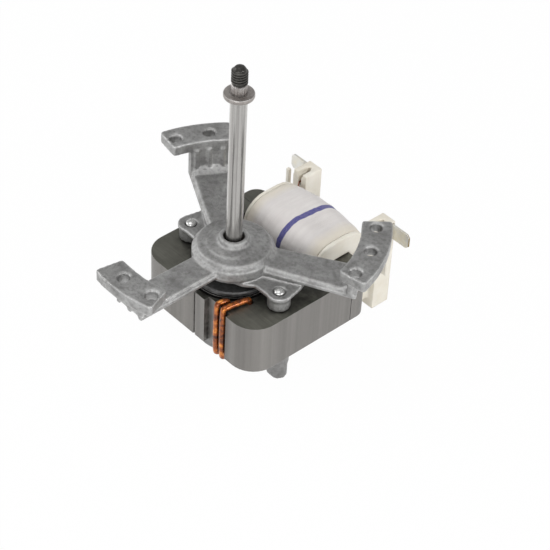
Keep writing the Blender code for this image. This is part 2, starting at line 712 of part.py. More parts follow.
def arm_pieces(number, angle):
    """One arm with the ledges at its edges, the riser at its end and the plate that the riser carries."""
    made = []
    root, tip = ARM_ROOT_WIDTH / 2, ARM_END_WIDTHS[number] / 2
    start, end = WELL_RADIUS + MM, PLATE_INNER_RADIUS + RISER_THICKNESS + OVERLAP
    ledge = ARM_TOP_Z - ARM_LEDGE_DROP
    arm = slab(f"arm_{number}", [[(start, -root), (end, -tip), (end, tip), (start, root)]], ARM_BOTTOM_Z, ledge)
    made.append(turn_mesh(arm, angle))
    root, inset = root - ARM_LEDGE_WIDTH, tip - ARM_LEDGE_WIDTH
    crown = slab(
        f"arm_crown_{number}",
        [[(start, -root), (end - MM, -inset), (end - MM, inset), (start, root)]],
        ARM_BOTTOM_Z + OVERLAP,
        ARM_TOP_Z,
    )
    made.append(turn_mesh(crown, angle))
    first, last = PLATE_SPANS[number]
    reach = math.degrees(tip / PLATE_INNER_RADIUS)
    riser_span = (max(first + 0.5, -reach), min(last - 0.5, reach))
    outer = PLATE_INNER_RADIUS + RISER_THICKNESS
    riser = sector(PLATE_INNER_RADIUS + 0.2 * MM, outer, angle + riser_span[0], angle + riser_span[1])
    made.append(slab(f"riser_{number}", [riser], ARM_SKIN_Z + PRESS_GAP, PLATE_BOTTOM_Z + OVERLAP))
    for rib in range(RISER_RIBS):
        share = (rib + 0.5) / RISER_RIBS
        rib_angle = angle + riser_span[0] + (riser_span[1] - riser_span[0]) * share
        rib_block = block(
            f"riser_rib_{number}_{rib}",
            (PLATE_INNER_RADIUS - RISER_RIB_PROUD, -RISER_RIB_WIDTH / 2, ARM_SKIN_Z + FACE_GAP),
            (PLATE_INNER_RADIUS + MM, RISER_RIB_WIDTH / 2, PLATE_BOTTOM_Z + OVERLAP),
        )
        made.append(turn_mesh(rib_block, rib_angle))
    plate = sector(PLATE_INNER_RADIUS, PLATE_OUTER_RADIUS, angle + first, angle + last, PLATE_CORNER_RADIUS)
    made.append(slab(f"plate_{number}", [plate], PLATE_BOTTOM_Z, PLATE_TOP_Z))
    return made


def arm_pockets(number, angle):
    """The two hollows under an arm, which leave a rib along each edge and one in the middle."""
    made = []
    start, end = HUB_BODY_RADIUS + MM, PLATE_INNER_RADIUS + RISER_THICKNESS + MM
    root = ARM_ROOT_WIDTH / 2 - ARM_RIB_WIDTH
    tip = ARM_END_WIDTHS[number] / 2 - ARM_RIB_WIDTH
    middle = ARM_RIB_WIDTH / 2
    for edge in (1, -1):
        outline = [(start, edge * middle), (end, edge * middle), (end, edge * tip), (start, edge * root)]
        pocket = slab(f"arm_pocket_{number}_{edge}", [outline], ARM_BOTTOM_Z - OVERLAP, ARM_SKIN_Z)
        made.append(turn_mesh(pocket, angle))
    return made


def sector(inner, outer, start, end, corner=0.0):
    """The outline of a piece of a ring, with its corners rounded when a radius is given."""
    steps = max(3, round(abs(end - start) / 4.5))
    if not corner:
        return arc((0, 0), outer, start, end, steps) + arc((0, 0), inner, end, start, steps)
    trim_outer = math.degrees(corner / outer)
    trim_inner = math.degrees(corner / inner)
    points = arc((0, 0), outer, start + trim_outer, end - trim_outer, steps)
    points += arc(polar(outer - corner, end - trim_outer), corner, end, end + 90, 4)[1:]
    points += arc(polar(inner + corner, end - trim_inner), corner, end + 90, end + 180, 4)
    points += arc((0, 0), inner, end - trim_inner, start + trim_inner, steps)[1:]
    points += arc(polar(inner + corner, start + trim_inner), corner, start + 180, start + 270, 4)[1:]
    points += arc(polar(outer - corner, start + trim_outer), corner, start + 270, start + 360, 4)[:-1]
    return points


def ear_web(side):
    """The flat web that joins an ear to the hub and to the arm beside it."""
    root = HUB_BODY_RADIUS - MM
    near, corner, outer, under, far = EAR_WEB_ANGLES
    outline = [polar(root, near), polar(HUB_BODY_RADIUS, corner)]
    outline += arc((EAR_X, EAR_Y), EAR_RADIUS, *EAR_ARC_ANGLES, 10)
    outline += [polar(EAR_WEB_REACH, outer), polar(EAR_WEB_REACH, under), polar(root, far)]
    outline = [(side * x, y) for x, y in outline]
    return slab(f"ear_web_{side}", [outline], EAR_TOP_Z - EAR_THICKNESS, EAR_TOP_Z)


def ear_wall(side):
    """The short wall that joins an ear's web to the edge of the arm above it."""
    outer = ARM_ROOT_WIDTH / 2 - PRESS_GAP
    near, far = sorted((-side * outer, -side * (outer - ARM_RIB_WIDTH)))
    wall = block(
        f"ear_wall_{side}",
        (HUB_SKIRT_RADIUS, near, EAR_TOP_Z - OVERLAP),
        (EAR_WEB_REACH - MM, far, ARM_BOTTOM_Z + OVERLAP),
    )
    return turn_mesh(wall, ARM_ANGLES[2] if side > 0 else ARM_ANGLES[1])


# Rear bracket

def build_rear_bracket():
    step = 0.5 * MM
    socket_radius = BEARING_RADIUS + PRESS_GAP
    cup = turned(
        "rear_bracket",
        [
            (0, REAR_CUP_FLOOR),
            (socket_radius, REAR_CUP_FLOOR),
            (socket_radius, REAR_WELL_Z),
            (WELL_RADIUS, REAR_WELL_Z),
            (WELL_RADIUS, REAR_DISH_TOP_Z),
            (REAR_DISH_RADIUS - step, REAR_DISH_TOP_Z),
            (REAR_DISH_RADIUS, REAR_DISH_TOP_Z - step),
            (REAR_DISH_RADIUS, REAR_DISH_BOTTOM_Z + step),
            (REAR_DISH_RADIUS - step, REAR_DISH_BOTTOM_Z),
            (REAR_CUP_RADIUS, REAR_DISH_BOTTOM_Z),
            (REAR_CUP_RADIUS, MM),
            (REAR_CUP_RADIUS - MM, 0),
            (0, 0),
        ],
        LARGE_SIDES,
    )
    joined = []
    holes = []
    bridge_top = REAR_DISH_TOP_Z - step
    half = REAR_BRIDGE_ROOT_WIDTH / 2
    for side in (1, -1):
        outline = [(WELL_RADIUS + MM, -half)]
        outline += arc((EAR_X, EAR_Y), EAR_RADIUS, -80, 80, 8)
        outline += [(WELL_RADIUS + MM, half)]
        outline = [(side * x, y) for x, y in outline]
        name = "right" if side > 0 else "left"
        joined.append(slab(f"bridge_{name}", [outline], bridge_top - REAR_BRIDGE_THICKNESS, bridge_top))
        for edge in (1, -1):
            rib_y = edge * (EAR_RADIUS - REAR_RIB_WIDTH / 2) * 0.8
            ends = sorted((side * (WELL_RADIUS + MM), side * EAR_X))
            joined.append(
                block(
                    f"bridge_rib_{name}_{edge}",
                    (ends[0], rib_y - REAR_RIB_WIDTH / 2, bridge_top - REAR_BRIDGE_THICKNESS - REAR_RIB_HEIGHT),
                    (ends[1], rib_y + REAR_RIB_WIDTH / 2, bridge_top - OVERLAP),
                )
            )
        foot = []
        for angle_start, shift in ((-90, FOOT_REACH), (90, 0)):
            foot += arc((EAR_X + shift, EAR_Y), FOOT_RADIUS, angle_start, angle_start + 180, 10)
        foot = [(side * x, y) for x, y in foot]
        joined.append(slab(f"foot_{name}", [foot], 0, CORE_BOTTOM_Z - FACE_GAP))
        hole = turned(
            f"rear_rivet_hole_{name}",
            [
                (0, CORE_BOTTOM_Z + OVERLAP),
                (RIVET_RADIUS + PRESS_GAP, CORE_BOTTOM_Z + OVERLAP),
                (RIVET_RADIUS + PRESS_GAP, FOOT_SEAT_DEPTH),
                (RIVET_SEAT_RADIUS - PRESS_GAP, FOOT_SEAT_DEPTH),
                (RIVET_SEAT_RADIUS - PRESS_GAP, -OVERLAP),
                (0, -OVERLAP),
            ],
            SMALL_SIDES,
        )
        holes.append(turn_mesh(hole, 0, (side * EAR_X, EAR_Y, 0)))
    bracket = combine(cup, joined, "UNION")
    return finish(combine(bracket, holes, "DIFFERENCE"), CAST_ALUMINIUM)


def build_rivets():
    """A rivet through each pair of ears, domed at both ends."""
    head_base = EAR_TOP_Z - RIVET_SEAT_DEPTH + FACE_GAP
    tail_base = FOOT_SEAT_DEPTH - FACE_GAP
    for side, name in ((1, "right"), (-1, "left")):
        profile = dome(head_base, 1)
        profile += [(RIVET_RADIUS, head_base), (RIVET_RADIUS, tail_base)]
        profile += dome(tail_base, -1)[::-1]
        rivet = turned(f"rivet_{name}", profile, SMALL_SIDES)
        finish(turn_mesh(rivet, 0, (side * EAR_X, EAR_Y, 0)), RIVET_STEEL)


def dome(base, up):
    """The profile of a rivet's head, from its crown to its rim."""
    points = []
    for step in range(RIVET_HEAD_STEPS + 1):
        angle = math.radians(90 * step / RIVET_HEAD_STEPS)
        points.append((RIVET_HEAD_RADIUS * math.sin(angle), base + up * RIVET_HEAD_HEIGHT * math.cos(angle)))
    return points


# Coil and bobbin

def coil_section(share, shrink=0.0):
    """The outline of the coil across X, in Y and Z. share runs from 0 in the middle to 1 at an end."""
    drop = COIL_END_DROP * share * share
    half_depth = COIL_HALF_DEPTH - drop * 0.6 - shrink
    half_height = COIL_HALF_HEIGHT - drop - shrink
    radius = COIL_CORNER_RADIUS - shrink
    return rounded_box(half_depth, half_height, radius, 6, (YOKE_MID_Y, CORE_MID_Z))


def loft(name, rings):
    """A ring-shaped solid from closed outlines, each joined to the next, and the last to the first."""
    shape = bmesh.new()
    rows = [[shape.verts.new(point) for point in ring] for ring in rings]
    count = len(rows[0])
    for row, following in zip(rows, rows[1:] + rows[:1]):
        for index in range(count):
            after = (index + 1) % count
            shape.faces.new((row[index], row[after], following[after], following[index]))
    bmesh.ops.recalc_face_normals(shape, faces=shape.faces)
    mesh = bpy.data.meshes.new(name)
    shape.to_mesh(mesh)
    shape.free()
    return place(name, mesh)


def wound_ring(name, half_length, outer_shrink, inner_half_depth, inner_half_height, inner_radius, steps):
    rings = []
    for step in range(steps + 1):
        share = -1 + 2 * step / steps
        rings.append([(share * half_length, y, z) for y, z in coil_section(share, outer_shrink)])
    inner = rounded_box(inner_half_depth, inner_half_height, inner_radius, 6, (YOKE_MID_Y, CORE_MID_Z))
    for step in range(steps, -1, -steps):
        share = -1 + 2 * step / steps
        rings.append([(share * half_length, y, z) for y, z in inner])
    return loft(name, rings)


def build_coil():
    winding_shrink = TAPE_THICKNESS + FACE_GAP
    tube_depth = YOKE_DEPTH / 2 + FACE_GAP + BOBBIN_WALL
    tube_height = STACK_HEIGHT / 2 + FACE_GAP + BOBBIN_WALL
    length = COIL_HALF_LENGTH - FACE_GAP
    winding = wound_ring(
        "coil_winding", length, winding_shrink, tube_depth + PRESS_GAP, tube_height + PRESS_GAP, 1.4 * MM, 6
    )
    finish(winding, COPPER)
    rings = []
    steps = 8
    for step in range(steps + 1):
        share = -1 + 2 * step / steps
        rings.append([(share * length, y, z) for y, z in coil_section(share)])
    for step in range(steps, -1, -1):
        share = -1 + 2 * step / steps
        rings.append([(share * length, y, z) for y, z in coil_section(share, TAPE_THICKNESS)])
    finish(loft("coil_tape", rings), CLOTH_TAPE)


def turned_on_side(thing, x_shift):
    """Stands a flat piece drawn in X and Y upright, so that its X lies along Y and its Y along Z."""
    matrix = Matrix(((0, 0, 1, x_shift), (1, 0, 0, 0), (0, 1, 0, 0), (0, 0, 0, 1)))
    thing.data.transform(matrix @ Matrix.Translation((0, 0, thing.location.z)))
    thing.location.z = 0
    return thing


def build_bobbin():
    middle = (YOKE_MID_Y, CORE_MID_Z)
    window_depth = YOKE_DEPTH / 2 + FACE_GAP
    window_height = STACK_HEIGHT / 2 + FACE_GAP
    window = rounded_box(window_depth, window_height, 0.3 * MM, 2, middle)
    sleeve = rounded_box(window_depth + BOBBIN_WALL, window_height + BOBBIN_WALL, 1.2 * MM, 3, middle)
    inner_face = COIL_HALF_LENGTH
    bobbin = turned_on_side(slab("bobbin", [sleeve], -inner_face - OVERLAP, inner_face + OVERLAP), 0)
    joined = []
    cuts = []
    for side, name in ((1, "right"), (-1, "left")):
        ends = sorted((side * inner_face, side * (inner_face + CHEEK_THICKNESS)))
        joined.append(turned_on_side(slab(f"cheek_{name}", [coil_section(1, CHEEK_INSET)], *ends), 0))
        joined.append(
            box_on_side(
                f"post_arm_{name}",
                side,
                (inner_face + PRESS_GAP, YOKE_FAR_Y + 5 * MM, POST_BOTTOM_Z + 4 * MM),
                (inner_face + CHEEK_THICKNESS + MM, POST_NEAR_Y + MM, POST_TOP_Z - 7.5 * MM),
            )
        )
        joined.append(
            box_on_side(
                f"post_{name}",
                side,
                (POST_INNER_X, POST_NEAR_Y, POST_BOTTOM_Z),
                (POST_OUTER_X, POST_FAR_Y, POST_TOP_Z),
            )
        )
        joined.append(
            box_on_side(
                f"guard_{name}",
                side,
                (POST_OUTER_X - OVERLAP, POST_NEAR_Y + FACE_GAP, GUARD_BOTTOM_Z),
                (POST_OUTER_X + GUARD_REACH, POST_NEAR_Y + FACE_GAP + GUARD_THICKNESS, GUARD_TOP_Z),
            )
        )
        cuts.append(
            box_on_side(
                f"guard_slit_{name}",
                side,
                (POST_OUTER_X + POST_WALL, POST_NEAR_Y, GUARD_SLIT_Z),
                (POST_OUTER_X + GUARD_REACH - GUARD_FINGER, POST_NEAR_Y + GUARD_THICKNESS + MM, GUARD_TOP_Z + MM),
            )
        )
        slot_near = BLADE_Y - BLADE_THICKNESS / 2 - FACE_GAP
        slot_far = BLADE_Y + BLADE_THICKNESS / 2 + FACE_GAP
        cuts.append(
            box_on_side(
                f"blade_slot_{name}",
                side,
                (POST_OUTER_X - BLADE_ROOT - FACE_GAP, slot_near, BLADE_TOP_Z - BLADE_HEIGHT - FACE_GAP),
                (POST_OUTER_X + MM, slot_far, BLADE_TOP_Z + FACE_GAP),
            )
        )
        for kind, width, depth, length in (
            ("notch", POST_NOTCH_WIDTH, POST_NOTCH_DEPTH, POST_POCKET_LENGTH + MM),
            ("pocket", POST_POCKET_WIDTH, POST_POCKET_DEPTH, POST_POCKET_LENGTH),
        ):
            cuts.append(
                box_on_side(
                    f"lead_{kind}_{name}",
                    side,
                    (NOTCH_X - width / 2, POST_NEAR_Y - MM, POST_TOP_Z - depth),
                    (NOTCH_X + width / 2, POST_NEAR_Y + length, POST_TOP_Z + MM),
                )
            )
    cuts.append(turned_on_side(slab("yoke_window", [window], -HALF_WIDTH, HALF_WIDTH), 0))
    bobbin = combine(bobbin, joined, "UNION")
    return finish(combine(bobbin, cuts, "DIFFERENCE"), BOBBIN_PLASTIC)


def box_on_side(name, side, low, high):
    """A box drawn on the right, or its mirror image on the left."""
    ends = sorted((side * low[0], side * high[0]))
    return block(name, (ends[0], low[1], low[2]), (ends[1], high[1], high[2]))


def build_blades():
    for side, name in ((1, "right"), (-1, "left")):
        root = POST_OUTER_X - BLADE_ROOT
        low, high = BLADE_TOP_Z - BLADE_HEIGHT, BLADE_TOP_Z
        taper = BLADE_TAPER
        outline = [
            (root, low),
            (BLADE_TIP_X - taper, low),
            (BLADE_TIP_X, low + taper),
            (BLADE_TIP_X, high - taper),
            (BLADE_TIP_X - taper, high),
            (root, high),
        ]
        hole = circle((BLADE_TIP_X - 3.6 * MM, (low + high) / 2), BLADE_HOLE_RADIUS, 12)
        outline, hole = [[(side * x, z) for x, z in points] for points in (outline, hole)]
        blade = slab(f"terminal_blade_{name}", [outline, hole], -BLADE_THICKNESS / 2, BLADE_THICKNESS / 2)
        blade.data.transform(Matrix.Rotation(math.radians(90), 4, "X"))
        blade.data.transform(Matrix.Translation((0, BLADE_Y, 0)))
        finish(blade, TINNED_BRASS)


def build_leads():
    """The winding's two ends, from the coil's crown up through the notch of each post."""
    coil_x = COIL_HALF_LENGTH - 1.3 * MM
    crown_y = POST_NEAR_Y - FACE_GAP - 2 * LEAD_RADIUS
    top = POST_TOP_Z - POST_NOTCH_DEPTH + LEAD_RADIUS + 1.4 * MM
    for side, name in ((1, "right"), (-1, "left")):
        route = [
            (coil_x, crown_y, top - 4.2 * MM),
            (coil_x + 0.3 * MM, crown_y, top - 2.6 * MM),
            (NOTCH_X - 0.5 * MM, crown_y, top - 0.9 * MM),
            (NOTCH_X, POST_NEAR_Y - 0.2 * MM, top - 0.1 * MM),
            (NOTCH_X, POST_NEAR_Y + POST_WALL, top),
            (NOTCH_X, POST_NEAR_Y + POST_POCKET_LENGTH, top),
        ]
        finish(tube(f"coil_lead_{name}", [(side * x, y, z) for x, y, z in route], LEAD_RADIUS), COPPER)


CORE_STEEL = make_material("core_steel", (0.24, 0.235, 0.22), 0.45, 0.7)
ROTOR_STEEL = make_material("rotor_steel", (0.05, 0.05, 0.05), 0.4, 0.7)
CAGE_ALUMINIUM = make_material("cage_aluminium", (0.2, 0.2, 0.2), 0.45, 0.8)
CAST_ALUMINIUM = make_material("cast_aluminium", (0.3, 0.3, 0.3), 0.5, 0.8)
SHAFT_STEEL = make_material("shaft_steel", (0.45, 0.44, 0.42), 0.25, 1.0)
RIVET_STEEL = make_material("rivet_steel", (0.65, 0.65, 0.64), 0.3, 1.0)
SPRING_STEEL = make_material("spring_steel", (0.35, 0.35, 0.36), 0.35, 1.0)
SPACER_STEEL = make_material("spacer_steel", (0.4, 0.4, 0.4), 0.35, 1.0)
BRONZE = make_material("sintered_bronze", (0.35, 0.22, 0.1), 0.6, 0.7)
WASHER_FIBRE = make_material("washer_fibre", (0.25, 0.12, 0.06), 0.7)
FELT = make_material("oil_felt", (0.5, 0.47, 0.4), 0.95)
COPPER = make_material("varnished_copper", (0.5, 0.16, 0.04), 0.25, 0.9)
CLOTH_TAPE = make_material("cloth_tape", (0.74, 0.71, 0.66), 0.85)
BOBBIN_PLASTIC = make_material("bobbin_plastic", (0.7, 0.65, 0.53), 0.5)
TINNED_BRASS = make_material("tinned_brass", (0.62, 0.56, 0.42), 0.35, 0.9)

build_stator_frame()
build_stator_yoke()
build_shading_rings()
build_rotor()
build_shaft()
build_bearing_set("front", HUB_WELL_TOP_Z, 1)
build_bearing_set("rear", REAR_WELL_Z, -1)
build_front_bracket()
build_rear_bracket()
build_rivets()
build_coil()
build_bobbin()
build_blades()
build_leads()
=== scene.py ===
import math

import bpy
from mathutils import Matrix, Vector, noise


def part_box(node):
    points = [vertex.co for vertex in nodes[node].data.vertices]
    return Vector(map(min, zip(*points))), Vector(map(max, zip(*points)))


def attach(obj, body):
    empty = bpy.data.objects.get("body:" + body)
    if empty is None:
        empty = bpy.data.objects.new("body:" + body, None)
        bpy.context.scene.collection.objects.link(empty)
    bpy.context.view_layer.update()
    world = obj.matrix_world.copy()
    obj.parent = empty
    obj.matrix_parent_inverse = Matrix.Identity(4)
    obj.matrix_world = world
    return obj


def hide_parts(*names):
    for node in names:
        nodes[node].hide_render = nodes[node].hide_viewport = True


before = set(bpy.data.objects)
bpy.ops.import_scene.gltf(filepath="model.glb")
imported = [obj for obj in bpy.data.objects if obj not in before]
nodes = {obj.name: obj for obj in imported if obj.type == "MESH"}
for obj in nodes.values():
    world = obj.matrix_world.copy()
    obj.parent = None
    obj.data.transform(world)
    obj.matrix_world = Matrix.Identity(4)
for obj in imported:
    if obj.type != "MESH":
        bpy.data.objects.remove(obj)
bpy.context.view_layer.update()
mm = 0.001


# Small helpers for work in edit mode

def onlySelect(thing):
    bpy.ops.object.select_all(action="DESELECT")
    thing.select_set(True)
    bpy.context.view_layer.objects.active = thing


def editMesh(thing, pick="SELECT"):
    onlySelect(thing)
    bpy.ops.object.mode_set(mode="EDIT")
    bpy.ops.mesh.select_mode(type="FACE")
    bpy.ops.mesh.select_all(action=pick)


def leaveMesh():
    bpy.ops.object.mode_set(mode="OBJECT")


def pickFaces(thing, test):  # selects the faces that the test says yes to, and goes back into edit mode
    leaveMesh()
    for face in thing.data.polygons:
        face.select = bool(test(face))
    bpy.ops.object.mode_set(mode="EDIT")


def applyModifier(thing, kind, **settings):
    modifier = thing.modifiers.new(kind.lower(), kind)
    for name, value in settings.items():
        setattr(modifier, name, value)
    onlySelect(thing)
    bpy.ops.object.modifier_apply(modifier=modifier.name)


def copyOfNode(nodeName, pieceName):  # a CAD node is loose triangles, so its copy is merged first
    thing = bpy.data.objects.new(pieceName, nodes[nodeName].data.copy())
    bpy.context.scene.collection.objects.link(thing)
    editMesh(thing)
    bpy.ops.mesh.remove_doubles(threshold=0.002 * mm)
    leaveMesh()
    return thing


def settle(thing):  # puts the piece's place into its mesh
    onlySelect(thing)
    bpy.ops.object.transform_apply(location=True, rotation=True, scale=True)
    return thing


def smoothShade(thing, angle=35):
    onlySelect(thing)
    bpy.ops.object.shade_smooth_by_angle(angle=math.radians(angle))


def dress(thing, material):
    thing.data.materials.clear()
    thing.data.materials.append(material)


def addPiece(thing, body, material, slot, *replaced):
    dress(thing, material)
    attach(thing, body)
    if replaced:
        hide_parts(*replaced)
    return thing


def turnedPiece(name, profile, sides):  # a disc drawn up and out through each radius and height
    radius, height = profile[0]
    bpy.ops.object.select_all(action="DESELECT")
    bpy.ops.mesh.primitive_circle_add(
        vertices=sides, radius=radius * mm, fill_type="NGON", location=(0, 0, height * mm)
    )
    thing = bpy.context.object
    thing.name = name
    settle(thing)
    editMesh(thing)
    for newRadius, newHeight in profile[1:]:
        rise = (0, 0, (newHeight - height) * mm)
        bpy.ops.mesh.extrude_region_move(TRANSFORM_OT_translate={"value": rise})
        share = newRadius / radius
        bpy.ops.transform.resize(value=(share, share, 1), center_override=(0, 0, newHeight * mm))
        radius, height = newRadius, newHeight
    bpy.ops.mesh.select_all(action="SELECT")
    bpy.ops.mesh.normals_make_consistent(inside=False)
    leaveMesh()
    return thing


def joined(name, things):
    bpy.ops.object.select_all(action="DESELECT")
    for thing in things:
        thing.select_set(True)
    bpy.context.view_layer.objects.active = things[0]
    bpy.ops.object.join()
    things[0].name = name
    return things[0]


# Camera, lamps and floor

cameraPlan = {
    "place": (0.3775, -0.3435, 0.4815),
    "right": (0.6671, 0.7438, 0.0413),
    "up": (-0.5141, 0.4195, 0.7482),
    "lens": 125.94,
}


def setCamera():
    data = bpy.data.cameras.new("photoCamera")
    data.lens = cameraPlan["lens"]
    data.sensor_width = 36
    data.clip_start = 0.01
    data.clip_end = 20
    camera = bpy.data.objects.new("photoCamera", data)
    bpy.context.scene.collection.objects.link(camera)
    right = Vector(cameraPlan["right"]).normalized()
    up = Vector(cameraPlan["up"])
    up = (up - right * up.dot(right)).normalized()
    back = right.cross(up)
    turn = Matrix((right, up, back)).transposed().to_4x4()
    camera.matrix_world = Matrix.Translation(cameraPlan["place"]) @ turn
    bpy.context.scene.camera = camera


lampPlan = {
    "aim": (0.0, 0.01, 0.04),
    "overhead": {"place": (-0.12, -0.10, 0.80), "size": 0.55, "power": 1.5},
    "left": {"place": (-0.60, -0.45, 0.40), "size": 0.40, "power": 1.6},
    "right": {"place": (0.70, 0.10, 0.35), "size": 0.35, "power": 1.6},
    "front": {"place": (0.42, -0.62, 0.30), "size": 0.45, "power": 1.8},
}
floorPlan = {"size": 6.0, "color": (0.86, 0.86, 0.855), "whiteShare": 0.98}
worldPlan = {"horizon": 1.0, "ceiling": 0.42, "from": 0.05, "to": 0.6}


def setLamps():
    for name in ("overhead", "left", "right", "front"):
        plan = lampPlan[name]
        data = bpy.data.lights.new(name + "Lamp", "AREA")
        data.shape = "DISK"
        data.size = plan["size"]
        data.energy = plan["power"]
        lamp = bpy.data.objects.new(name + "Lamp", data)
        bpy.context.scene.collection.objects.link(lamp)
        lamp.location = plan["place"]
        away = Vector(plan["place"]) - Vector(lampPlan["aim"])
        lamp.rotation_euler = away.to_track_quat("Z", "Y").to_euler()


def addNode(tree, kind, inputs=None, **settings):
    made = tree.nodes.new(kind)
    for name, value in settings.items():
        setattr(made, name, value)
    for name, value in (inputs or {}).items():
        if isinstance(value, bpy.types.NodeSocket):
            tree.links.new(value, made.inputs[name])
        else:
            made.inputs[name].default_value = value
    return made


def seenRays(tree):  # one for camera, glossy and transmission rays, which see the white background
    path = addNode(tree, "ShaderNodeLightPath")
    first = addNode(
        tree, "ShaderNodeMath", {0: path.outputs["Is Camera Ray"], 1: path.outputs["Is Glossy Ray"]},
        operation="MAXIMUM",
    )
    both = addNode(
        tree, "ShaderNodeMath", {0: first.outputs[0], 1: path.outputs["Is Transmission Ray"]},
        operation="MAXIMUM",
    )
    return both.outputs[0]


def setWorld():  # a white backdrop all round, under a dimmer ceiling
    world = bpy.data.worlds.new("studioWorld")
    bpy.context.scene.world = world
    world.use_nodes = True
    tree = world.node_tree
    tree.nodes.clear()
    view = addNode(tree, "ShaderNodeTexCoord").outputs["Generated"]
    height = addNode(tree, "ShaderNodeSeparateXYZ", {0: view}).outputs["Z"]
    strength = spread(
        tree, height, worldPlan["from"], worldPlan["to"], worldPlan["horizon"], worldPlan["ceiling"]
    )
    studio = addNode(tree, "ShaderNodeBackground", {"Color": (1, 1, 1, 1), "Strength": strength})
    addNode(tree, "ShaderNodeOutputWorld", {"Surface": studio.outputs[0]})


def setFloor():
    bpy.ops.object.select_all(action="DESELECT")
    bpy.ops.mesh.primitive_plane_add(size=floorPlan["size"], location=(0, 0, -0.02 * mm))
    floor = settle(bpy.context.object)
    floor.name = "floor"
    material = bpy.data.materials.new("paleFloor")
    material.use_nodes = True
    tree = material.node_tree
    tree.nodes.clear()
    matte = addNode(tree, "ShaderNodeBsdfDiffuse", {"Color": (*floorPlan["color"], 1)})
    white = addNode(tree, "ShaderNodeEmission", {"Color": (1, 1, 1, 1), "Strength": 1.0})
    share = addNode(
        tree, "ShaderNodeMath", {0: seenRays(tree), 1: floorPlan["whiteShare"]}, operation="MULTIPLY"
    )
    mixed = addNode(
        tree, "ShaderNodeMixShader", {0: share.outputs[0], 1: matte.outputs[0], 2: white.outputs[0]}
    )
    addNode(tree, "ShaderNodeOutputMaterial", {"Surface": mixed.outputs[0]})
    dress(floor, material)


# Shared effects, as node groups

def newGroup(name, inputs, outputs):
    tree = bpy.data.node_groups.new(name, "ShaderNodeTree")
    for socketName, kind, value in inputs:
        socket = tree.interface.new_socket(name=socketName, in_out="INPUT", socket_type=kind)
        if value is not None:
            socket.default_value = value
    for socketName in outputs:
        tree.interface.new_socket(name=socketName, in_out="OUTPUT", socket_type="NodeSocketFloat")
    return tree, tree.nodes.new("NodeGroupInput"), tree.nodes.new("NodeGroupOutput")


def math2(tree, operation, first, second, clamp=False):
    made = addNode(tree, "ShaderNodeMath", {0: first, 1: second}, operation=operation, use_clamp=clamp)
    return made.outputs[0]


def spread(tree, value, low, high, outLow=0.0, outHigh=1.0):
    made = addNode(
        tree, "ShaderNodeMapRange",
        {"Value": value, "From Min": low, "From Max": high, "To Min": outLow, "To Max": outHigh},
        clamp=True,
    )
    return made.outputs["Result"]


def buildGrainGroup():  # blotches and a fine grain, both from 0 to 1, for castings, plastic and varnish
    tree, start, end = newGroup(
        "surfaceGrain",
        [("Vector", "NodeSocketVector", None), ("Blotch Size", "NodeSocketFloat", 0.004),
         ("Grain Size", "NodeSocketFloat", 0.0005)],
        ["Blotch", "Grain"],
    )
    for source, target, detail in (("Blotch Size", "Blotch", 5.0), ("Grain Size", "Grain", 3.0)):
        scale = math2(tree, "DIVIDE", 1.0, start.outputs[source])
        made = addNode(
            tree, "ShaderNodeTexNoise",
            {"Vector": start.outputs["Vector"], "Scale": scale, "Detail": detail, "Roughness": 0.6},
        )
        tree.links.new(spread(tree, made.outputs["Fac"], 0.3, 0.7), end.inputs[target])
    return tree


def buildWearGroup():  # brightens outer edges, where handling polishes a surface: wear and painted highlight, broken up by noise
    tree, start, end = newGroup(
        "edgeWear",
        [("Vector", "NodeSocketVector", None), ("Width", "NodeSocketFloat", 0.0006),
         ("Gain", "NodeSocketFloat", 6.0)],
        ["Wear"],
    )
    rounded = addNode(tree, "ShaderNodeBevel", {"Radius": start.outputs["Width"]}, samples=4)
    shape = addNode(tree, "ShaderNodeNewGeometry")
    dot = addNode(
        tree, "ShaderNodeVectorMath", {0: rounded.outputs[0], 1: shape.outputs["Normal"]},
        operation="DOT_PRODUCT",
    )
    away = math2(tree, "SUBTRACT", 1.0, dot.outputs["Value"])
    strong = math2(tree, "MULTIPLY", away, start.outputs["Gain"])
    patches = addNode(
        tree, "ShaderNodeTexNoise", {"Vector": start.outputs["Vector"], "Scale": 900.0, "Detail": 4.0}
    )
    broken = math2(tree, "MULTIPLY", strong, spread(tree, patches.outputs["Fac"], 0.3, 0.65, 0.35, 1.0), True)
    tree.links.new(broken, end.inputs["Wear"])
    return tree


def buildGrimeGroup():  # painted shade and dirt in corners and crevices, from ambient occlusion broken up by noise
    tree, start, end = newGroup(
        "cornerGrime",
        [("Vector", "NodeSocketVector", None), ("Reach", "NodeSocketFloat", 0.004)],
        ["Grime"],
    )
    open_ = addNode(tree, "ShaderNodeAmbientOcclusion", {"Distance": start.outputs["Reach"]}, samples=6)
    closed = math2(tree, "SUBTRACT", 1.0, open_.outputs["AO"])
    patches = addNode(
        tree, "ShaderNodeTexNoise", {"Vector": start.outputs["Vector"], "Scale": 400.0, "Detail": 5.0}
    )
    shadeAndDirt = math2(tree, "MULTIPLY", closed, spread(tree, patches.outputs["Fac"], 0.3, 0.7, 0.5, 1.3), True)
    tree.links.new(shadeAndDirt, end.inputs["Grime"])
    return tree


def buildStreakGroup():  # lines drawn out along one axis, as grinding or rolling leaves them; on the shaft they are also painted reflection bands
    tree, start, end = newGroup(
        "drawnStreaks",
        [("Vector", "NodeSocketVector", None), ("Stretch", "NodeSocketVector", (1.0, 1.0, 0.03)),
         ("Size", "NodeSocketFloat", 0.0004)],
        ["Streak"],
    )
    scale = math2(tree, "DIVIDE", 1.0, start.outputs["Size"])
    pulled = addNode(
        tree, "ShaderNodeVectorMath", {0: start.outputs["Vector"], 1: start.outputs["Stretch"]},
        operation="MULTIPLY",
    )
    made = addNode(
        tree, "ShaderNodeTexNoise",
        {"Vector": pulled.outputs[0], "Scale": scale, "Detail": 4.0, "Roughness": 0.65},
    )
    tree.links.new(spread(tree, made.outputs["Fac"], 0.3, 0.7), end.inputs["Streak"])
    return tree


# Materials

